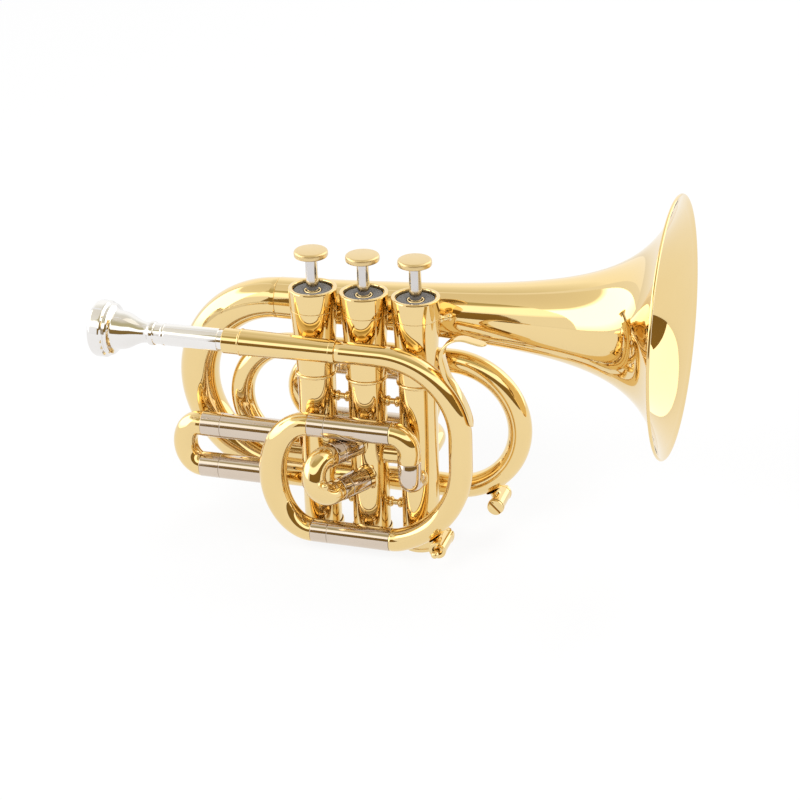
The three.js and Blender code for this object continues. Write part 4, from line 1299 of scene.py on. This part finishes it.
def key_on_bend(
    number: int, centre: Vector, radii: tuple[float, float], degrees: float, gap: float
) -> WaterKey:
    """Stands a water key on the outside of a bend.

    Args:
        number: which key it is. The first key's plunger points to the player's right.
        centre: the bend's centre.
        radii: the bend's radius and the tube's.
        degrees: where on the bend it stands.
        gap: how far the barrel stands off the tube.

    Returns:
        The key in place.
    """
    angle = math.radians(degrees)
    outward = Vector((math.cos(angle), 0, math.sin(angle)))
    skin = sum(radii)
    sunk = 0.35
    middle = centre + outward * (skin + gap + WaterKey.barrel)
    return WaterKey(number, middle, centre + outward * (skin - sunk), -1 if number == 1 else 1)


@dataclass
class LeadSide:
    """The mouthpiece, its receiver, the leadpipe, the inlet elbows and the finger hook."""

    rim_face: float = -134.2
    receiver_start: float = -66.2
    receiver_end: float = -11.9
    start_radius: float = 5.3
    end_radius: float = 5.8
    wall: float = 0.7
    upper_bend: float = 39.0
    lower_bend: float = 47.0
    reach: float = 52.0
    lower_end: float = 15.5
    toe: float = 20.0
    elbow_joint: float = 55.3
    inlet_x: float = 26.0

    def build(self) -> None:
        """Builds the pieces from the mouthpiece to the inlet."""
        self.build_mouthpiece()
        self.build_receiver()
        self.build_leadpipe()
        self.build_inlet()
        self.build_hook()

    def build_mouthpiece(self) -> None:
        """Turns the mouthpiece from its rim back to the tip of its shank, by radius and depth."""
        rim = [
            (10.9, 0.0), (11.9, 0.12), (12.9, 0.5), (13.6, 1.15), (14.0, 2.0), (14.1, 2.9),
            (14.1, 6.5), (13.9, 7.1), (13.2, 7.6), (12.75, 7.9), (12.65, 8.4), (12.95, 8.8),
            (12.85, 9.5), (12.1, 10.2), (11.0, 10.7), (10.2, 11.2),
        ]
        cup = [
            (9.85, 11.8), (9.7, 12.6), (9.55, 14.0), (9.25, 16.0), (8.6, 18.0), (7.6, 20.0),
            (6.5, 22.0), (5.7, 23.8), (5.2, 25.6), (5.05, 27.6),
        ]
        shank = [
            (5.2, 28.4), (5.65, 28.8), (5.95, 29.3), (6.05, 30.1), (5.95, 31.0), (5.7, 31.6),
            (5.3, 31.9), (5.1, 32.3), (5.1, 35.4), (5.4, 35.7), (5.5, 36.2), (5.45, 36.8),
            (5.2, 37.1), (5.4, 38.0), (5.65, 65.2), (5.0, 65.2), (4.65, 88.0),
        ]
        bore = [
            (3.9, 88.0), (2.6, 50.0), (1.85, 20.0), (1.85, 12.6), (2.4, 11.4), (4.2, 9.4),
            (6.2, 6.6), (7.5, 3.4), (8.2, 1.2), (8.75, 0.5), (9.6, 0.12),
        ]
        outline = [(radius, -depth) for radius, depth in (*rim, *cup, *shank, *bore)]
        foot = Vector((self.rim_face, LEAD_PLANE, LEAD_HEIGHT))
        stand_in("mouthpiece", turned(outline, sides=96, ease=0.12).aimed(foot, -ALONG), SILVER)

    def build_receiver(self) -> None:
        """Turns the receiver with its rounded mouth, ring and end collar."""
        end = self.receiver_end - self.receiver_start
        outline = [
            (5.3, 0), (6.25, 0), (6.25, 8.1), (6.5, 8.2), (6.72, 8.4), (6.75, 8.7), (6.72, 9.0),
            (6.5, 9.2), (6.45, 9.4), (5.72, end + 0.15), (6.02, end + 0.25), (6.02, end + 2.9),
            (5.36, end + 2.9), (5.36, end), (4.1, end), (4.1, 23.1), (4.95, 23.1),
        ]
        foot = Vector((self.receiver_start, LEAD_PLANE, LEAD_HEIGHT))
        receiver = turned(outline, sides=64, ease=0.22).aimed(foot, ALONG)
        stand_in("mouthpiece_receiver", receiver, BRASS)

    def build_leadpipe(self) -> None:
        """Builds the tapered leadpipe with its water key."""
        start = self.receiver_end + SEAT_GAP
        toe = math.radians(self.toe)
        lower_reach = self.lower_bend * (1 - math.sin(toe))
        toe_bend = (self.reach - self.lower_end - lower_reach) / math.sin(toe)
        centre_height = TUNING_LOWER + toe_bend * (1 - math.cos(toe)) + self.lower_bend * math.cos(toe)
        route = Route(Vector((start, LEAD_PLANE, LEAD_HEIGHT)), ALONG)
        route.run(self.reach - self.upper_bend - start, 4).bend(self.upper_bend, 90, -UP, 3)
        route.run(LEAD_HEIGHT - self.upper_bend - centre_height, 3)
        route.bend(self.lower_bend, 90 - self.toe, -ALONG, 3)
        route.bend(toe_bend, self.toe, Vector((-math.sin(toe), 0, math.cos(toe))))

        def radius_at(travelled: float) -> float:
            """Returns the pipe's radius, which grows over its first half."""
            return blend(self.start_radius, self.end_radius, min(1, 2 * travelled / route.travelled))

        centre = Vector((self.reach - self.lower_bend, LEAD_PLANE, centre_height))
        key = key_on_bend(1, centre, (self.lower_bend, self.end_radius), degrees=-50, gap=-0.3)
        stand_in("leadpipe", tube(route, radius_at, self.wall).add(key.barrel_shape()), BRASS)
        key.build()

    def build_inlet(self) -> None:
        """Builds the brass elbow down from the tuning slide and the nickel one into the valve."""
        bend, lower_bend = 8.75, 6.5
        run, lower_run = 5.1, 6.7
        upper_start = Vector((self.inlet_x - bend, LEAD_PLANE, TUNING_UPPER))
        down = Route(upper_start, ALONG).bend(bend, 90, -UP).run(run)
        stand_in("inlet_elbow_upper", tube(down, self.end_radius, self.wall), BRASS)
        lower_start = Vector((self.inlet_x, LEAD_PLANE, self.elbow_joint - JOINT))
        inwards = Route(lower_start, -UP).run(lower_run).bend(lower_bend, 90, LEFT)
        stand_in("inlet_elbow_lower", tube(inwards, self.end_radius, self.wall), NICKEL)

    def build_hook(self) -> None:
        """Builds the finger hook: a strap along the bend, an arch and a tipped-up tail."""
        seat = self.upper_bend + self.end_radius + SEAT_GAP + 0.5
        centre = Vector((self.reach - self.upper_bend, LEAD_PLANE, LEAD_HEIGHT - self.upper_bend))
        arch = Vector((54, LEAD_PLANE, 112.9))
        line: list[Vector] = []
        for middle, radius, first, last, steps in ((centre, seat, 9, 46, 14), (arch, 10.4, 205, 74, 30)):
            for step in range(steps + 1):
                angle = math.radians(blend(first, last, step / steps))
                line.append(middle + Vector((radius * math.cos(angle), 0, radius * math.sin(angle))))
        tail = math.radians(-16)
        tail_length, lift, tail_steps = 9, 0.9, 7
        tail_foot = line[-1]
        for share in (step / tail_steps for step in range(1, tail_steps + 1)):
            gone = tail_length * share
            rise = gone * math.sin(tail) + lift * share * share
            line.append(tail_foot + Vector((gone * math.cos(tail), 0, rise)))
        hook = strap(smoothed(line), width=6.6, thickness=1, stiffening=2)
        stand_in("finger_hook", hook, BRASS)


def smoothed(line: list[Vector]) -> list[Vector]:
    """Relaxes the kinks of a line and keeps its ends.

    Args:
        line: the points.

    Returns:
        The smoother line.
    """
    for _ in range(4):
        inner = [(a + 2 * b + c) / 4 for a, b, c in zip(line, line[1:], line[2:])]
        line = [line[0], *inner, line[-1]]
    return line


def strap(line: list[Vector], width: float, thickness: float, stiffening: float) -> Shape:
    """Makes a strap with rounded edges and rounded ends along a line in one plane.

    Args:
        line: the middle of the strap.
        width: its width across the plane.
        thickness: its thickness in the plane.
        stiffening: how much thicker it is halfway, where it leaves the tube.

    Returns:
        The closed strap.
    """
    peak, spread = 0.48, 0.16
    least = 0.02
    total = sum((b - a).length for a, b in zip(line, line[1:]))
    gone = 0.0
    rings = []
    for i, point in enumerate(line):
        gone += (point - line[i - 1]).length if i else 0
        ahead = line[min(i + 1, len(line) - 1)] - line[max(i - 1, 0)]
        normal = ahead.cross(LEFT).normalized()
        depth = thickness + stiffening * math.exp(-(((gone / total - peak) / spread) ** 2))
        near_end = min(1, min(gone, total - gone) / (width / 2))
        half = width / 2 * math.sqrt(max(least, 1 - (1 - near_end) ** 2))
        ring = []
        for c, s in circle(20):
            across = math.copysign(abs(c) ** 0.4, c) * half
            along = math.copysign(abs(s) ** 0.6, s) * depth / 2
            ring.append(point + LEFT * across + normal * along)
        rings.append(ring)
    return skinned(rings)


# The bell side


@dataclass
class BellSide:
    """The bell and the three bows that lead to it."""

    tail_x: float = -52.5
    tail_height: float = 116.2
    tilt: float = math.radians(1.06)
    rim_x: float = 146.2
    rim: float = 62.9
    throat: float = 6.58
    flare_reach: float = 25.4
    flare_power: float = 1.232
    wall: float = 0.8
    bow: float = 6.05
    bow_wall: float = 0.7
    bow_tail: float = 10.2
    bow_mouth: float = 6.9
    lower_joint: float = -4.0
    upper_joint: float = -13.0
    front_x: float = 35.9
    inner_x: float = -47.2
    inner_plane: float = 20.8

    @property
    def length(self) -> float:
        """The bell's length along its own axis."""
        return (self.rim_x - self.tail_x) / math.cos(self.tilt)

    def radius_at(self, distance: float) -> float:
        """Returns the bell's outer radius at a distance back from its rim."""
        opening = (self.flare_reach / (self.flare_reach + distance)) ** self.flare_power
        return self.throat + (self.rim - self.throat) * opening

    def build(self) -> None:
        """Builds the bell and its bows."""
        self.build_bell()
        self.build_rear_bow()
        self.build_front_bow()
        self.build_inner_bow()

    def build_bell(self) -> None:
        """Turns the bell and rolls a wire into its rim."""
        rings = 70
        wire = 0.8
        edge = 2 * wire
        outer: Outline = []
        for ring in range(rings + 1):
            distance = edge + (self.length - edge) * (1 - ring / rings) ** 2.2
            outer.append((self.radius_at(distance), self.length - distance))
        bead = []
        for step in range(9):
            angle = math.radians(blend(-120, 100, step / 8))
            height = self.length - wire + wire * math.sin(angle)
            bead.append((self.rim - 0.1 + wire * math.cos(angle), height))
        inner = [(radius - self.wall, height) for radius, height in reversed(outer)]
        outline = [*outer, *bead, (self.rim - 0.95, self.length - 0.5), *inner]
        direction = Vector((math.cos(self.tilt), 0, math.sin(self.tilt)))
        foot = Vector((self.tail_x, BELL_PLANE, self.tail_height))
        stand_in("bell", turned(outline, sides=144, ease=0).aimed(foot, direction), BRASS)

    def build_rear_bow(self) -> None:
        """Builds the wide tapered bow behind the valves."""
        back = Vector((-math.cos(self.tilt), 0, -math.sin(self.tilt)))
        inward = Vector((math.sin(self.tilt), 0, -math.cos(self.tilt)))
        bend = (self.tail_height - LOWER_BOW) / (1 + math.cos(self.tilt))
        start = Vector((self.tail_x, BELL_PLANE, self.tail_height)) + back * SEAT_GAP
        route = Route(start, back).bend(bend, 180 - math.degrees(self.tilt), inward, 3)
        bent = route.travelled
        route.run(self.lower_joint - route.point.x, 10)
        straight = route.travelled - bent
        taper_in_bend = 0.55

        def radius_at(travelled: float) -> float:
            """Returns the bow's radius, which shrinks slowly in the bend and evenly after it."""
            slow = taper_in_bend * min(1, travelled / bent) ** 3
            return blend(self.bow_tail, self.bow_mouth, blend(slow, 1, max(0, travelled - bent) / straight))

        stand_in("rear_bow", tube(route, radius_at, self.bow_wall, 56), BRASS)

    def build_front_bow(self) -> None:
        """Builds the front bow with its water key."""
        bend = (UPPER_BOW - LOWER_BOW) / 2
        start = Vector((self.lower_joint + SEAT_GAP, BELL_PLANE, LOWER_BOW))
        route = Route(start, ALONG).run(self.front_x - start.x, 4).bend(bend, 180, UP, 3)
        route.run(self.front_x - self.upper_joint, 4)
        centre = Vector((self.front_x, BELL_PLANE, LOWER_BOW + bend))
        key = key_on_bend(2, centre, (bend, self.bow), degrees=-59, gap=1.4)
        stand_in("front_bow", tube(route, self.bow, self.bow_wall).add(key.barrel_shape()), BRASS)
        key.build()

    def build_inner_bow(self) -> None:
        """Builds the inner bow, which leans in and ends at the first valve."""
        start = Vector((self.upper_joint - SEAT_GAP, BELL_PLANE, UPPER_BOW))
        across = Vector((0, self.inner_plane - BELL_PLANE, INNER_BOW - UPPER_BOW))
        elbow = 8.5
        route = Route(start, -ALONG).run(start.x - self.inner_x, 3)
        route.bend(across.length / 2, 180, across, 4).run(-ValveBlock.pitch - elbow - self.inner_x)
        route.bend(elbow, 90, -LEFT, 6)
        stand_in("inner_bow", tube(route, self.bow, self.bow_wall), BRASS)


# The studio


@dataclass(frozen=True)
class Cloth:
    """A cloth of the light tent: part of a dome, with a glow for each elevation in degrees."""

    name: str
    radius: float
    foot: float
    top: float
    first: float
    last: float
    glow: tuple[tuple[float, Colour], ...]
    strength: float = 1.5

    def mesh(self, front: float) -> bpy.types.Mesh:
        """Makes the cloth's part of the dome, from its first to its last bearing.

        Args:
            front: the bearing that the cloth's own are counted from.

        Returns:
            The mesh.
        """
        columns, rows = 48, 17
        points = []
        for column in range(columns + 1):
            level = bearing(front + blend(self.first, self.last, column / columns))
            for row in range(rows):
                height = math.radians(blend(self.foot, self.top, row / (rows - 1)))
                points.append((level * math.cos(height) + UP * math.sin(height)) * self.radius)
        starts = [column * rows + row for column in range(columns) for row in range(rows - 1)]
        mesh = bpy.data.meshes.new(self.name)
        mesh.from_pydata(points, [], [(i, i + rows, i + rows + 1, i + 1) for i in starts])
        return mesh

    def shader(self, graph: Graph) -> Wire:
        """Builds a shader that glows by height.

        Args:
            graph: where its nodes go.

        Returns:
            The shader.
        """
        height = graph.node("ShaderNodeSeparateXYZ", None, {0: graph.place()}, 2)
        low, high = (math.sin(math.radians(edge)) * self.radius for edge in (self.foot, self.top))
        limits = {"Value": height, "From Min": low, "From Max": high}
        share = graph.node("ShaderNodeMapRange", None, limits)
        sines = [math.sin(math.radians(elevation)) * self.radius for elevation, _ in self.glow]
        stops = [((sine - low) / (high - low), colour) for sine, (_, colour) in zip(sines, self.glow)]
        colour = graph.node("ShaderNodeValToRGB", {"stops": stops}, {"Fac": share})
        return graph.node("ShaderNodeEmission", None, {"Color": colour, "Strength": self.strength})


ROOF = (0.54, 0.50, 0.42)
LOW_GLOW = ((-1, (0.15, 0.095, 0.03)), (22, (0.18, 0.11, 0.03)))
FRONT_GLOW = (
    (22, (0.8, 0.8, 0.75)), (27, (1.0, 1.0, 0.95)), (42, (1.0, 1.0, 0.92)),
    (47, (0.36, 0.31, 0.17)), (62, (0.36, 0.32, 0.19)), (89.9, ROOF),
)
LEFT_GLOW = (
    (-4, (0.5, 0.5, 0.48)), (8, (0.95, 0.95, 0.92)), (36, (0.95, 0.95, 0.92)),
    (41, (0.32, 0.31, 0.27)), (60, (0.29, 0.275, 0.24)), (89.9, (0.27, 0.25, 0.21)),
)
RIGHT_GLOW = ((-4, (0.86, 0.86, 0.84)), (44, (0.94, 0.94, 0.92)), (60, (0.57, 0.55, 0.48)), (89.9, ROOF))
BACK_GLOW = ((0, (0.74, 0.74, 0.74)), (35, (0.78, 0.78, 0.76)), (60, (0.56, 0.54, 0.47)), (89.9, ROOF))
TENT = (
    Cloth("low_cloth", 1.3, -1, 22, -45, 76, LOW_GLOW),
    Cloth("front_cloth", 3.0, 22, 89.9, -62, 62, FRONT_GLOW),
    Cloth("left_cloth", 3.0, -4, 89.9, -130, -62, LEFT_GLOW, 3.0),
    Cloth("right_cloth", 3.0, -4, 89.9, 62, 140, RIGHT_GLOW, 2.1),
    Cloth("back_cloth", 3.0, 0, 89.9, 140, 220, BACK_GLOW),
)


@dataclass(frozen=True)
class Lamp:
    """A soft square lamp: its place and size in metres and its power in watts."""

    name: str
    place: tuple[float, float, float]
    size: float
    power: float


LAMPS = (
    Lamp("key_lamp", (-0.7, -1.5, 1.5), 1.1, 26.0),
    Lamp("fill_lamp", (1.5, -0.9, 1.3), 1.0, 14.0),
    Lamp("back_lamp", (0.2, 1.2, 1.7), 1.2, 16.0),
)


@dataclass
class Studio:
    """A pale floor, soft lamps, a light tent that metal reflects, and the camera."""

    camera_at: Vector = field(default_factory=lambda: Vector((299.894, -876.022, 520.352)))
    turn: float = math.radians(17.92)
    fall: float = math.radians(25.611)
    roll: float = math.radians(-1.778)
    lens: float = 94.02
    target: Vector = field(default_factory=lambda: Vector((0.02, 0, 0.07)))
    floor_reach: float = 4.0

    def build(self, floor_height: float) -> None:
        """Sets up the studio round the object.

        Args:
            floor_height: where the floor lies, in metres.
        """
        self.build_world()
        self.build_floor(floor_height)
        self.build_tent()
        self.build_lamps()
        self.build_camera()
        bpy.context.scene.view_settings.view_transform = "Standard"

    @staticmethod
    def seen(graph: Graph) -> Wire:
        """Tells what is looked at from what is lit.

        Args:
            graph: where the nodes go.

        Returns:
            1 for rays from the camera, from gloss and through glass, and 0 for the rest.
        """
        kinds = ("Is Camera Ray", "Is Glossy Ray", "Is Transmission Ray")
        camera, gloss, glass = (graph.node("ShaderNodeLightPath", output=kind) for kind in kinds)
        return camera + gloss + glass

    def build_world(self) -> None:
        """Makes the world white to the eye and a soft grey as a light."""
        world = bpy.data.worlds.new("studio_air")
        world.use_nodes = True
        bpy.context.scene.world = world
        graph = Graph(world.node_tree)
        strength = 0.55 + self.seen(graph) * 0.45
        air = graph.node("ShaderNodeBackground", None, {"Color": (1.0, 1.0, 1.0), "Strength": strength})
        graph.node("ShaderNodeOutputWorld", None, {"Surface": air})

    def build_floor(self, height: float) -> None:
        """Lays a wide pale floor that keeps a faint shadow.

        Args:
            height: where it lies, in metres.
        """
        mesh = bpy.data.meshes.new("floor")
        ways = ((-1, -1), (1, -1), (1, 1), (-1, 1))
        edges = [(x * self.floor_reach, y * self.floor_reach, height) for x, y in ways]
        mesh.from_pydata(edges, [], [(0, 1, 2, 3)])
        floor = placed("floor", mesh)
        mesh.materials.append(new_material("paper", self.paper))
        floor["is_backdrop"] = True

    def paper(self, graph: Graph) -> Wire:
        """Builds the floor's shader: white to the eye, but for a faint shadow.

        Args:
            graph: where its nodes go.

        Returns:
            The shader.
        """
        matt = graph.node("ShaderNodeBsdfDiffuse", None, {"Color": (0.88, 0.88, 0.88)})
        white = graph.node("ShaderNodeEmission", None, {"Color": (1.0, 1.0, 1.0), "Strength": 1.0})
        return graph.node("ShaderNodeMixShader", None, {0: self.seen(graph) * 0.88, 1: matt, 2: white})

    def build_tent(self) -> None:
        """Hangs the tent's cloths where reflections show them."""
        for cloth in TENT:
            mesh = cloth.mesh(math.degrees(self.turn) - 90)
            mesh.materials.append(new_material(cloth.name, cloth.shader))
            band = placed(cloth.name, mesh)
            band.location = self.target
            band.visible_camera = False
            band.visible_diffuse = False
            band.visible_shadow = False
            band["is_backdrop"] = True

    def build_lamps(self) -> None:
        """Hangs three soft lamps that look at the valves."""
        for lamp in LAMPS:
            light = bpy.data.lights.new(lamp.name, "AREA")
            light.shape = "SQUARE"
            light.size = lamp.size
            light.energy = lamp.power
            piece = placed(lamp.name, light)
            piece.location = lamp.place
            away = Vector(lamp.place) - self.target
            piece.rotation_euler = away.to_track_quat("Z", "Y").to_euler()
            piece.visible_glossy = False

    def build_camera(self) -> None:
        """Stands the camera where the photograph was taken from."""
        level = Vector((-math.sin(self.turn), math.cos(self.turn), 0))
        forward = level * math.cos(self.fall) - UP * math.sin(self.fall)
        right = Vector((math.cos(self.turn), math.sin(self.turn), 0))
        up = right.cross(forward)
        rolled_right = right * math.cos(self.roll) + up * math.sin(self.roll)
        rolled_up = up * math.cos(self.roll) - right * math.sin(self.roll)
        data = bpy.data.cameras.new("camera")
        data.lens = self.lens
        data.sensor_width = 36
        data.clip_start = 0.01
        data.clip_end = 50
        camera = placed("camera", data)
        axes = Matrix((rolled_right, rolled_up, -forward)).transposed().to_4x4()
        camera.matrix_world = Matrix.Translation(self.camera_at * MM) @ axes
        bpy.context.scene.camera = camera


def corners(box: tuple[Vector, Vector]) -> list[list[float]]:
    """Returns a box's two corners as plain lists."""
    return [list(corner) for corner in box]


def main() -> None:
    """Builds every piece of the trumpet in order, then the studio."""
    logging.basicConfig(level=logging.INFO, format="%(message)s")
    packed = corners(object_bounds())
    valves = ValveBlock()
    LeadSide().build()
    build_slides(valves)
    valves.build()
    BellSide().build()
    Studio().build(packed[0][2] - 0.0005)
    {"cad": packed, "visual": corners(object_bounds())}


if __name__ == "__main__":
    main()
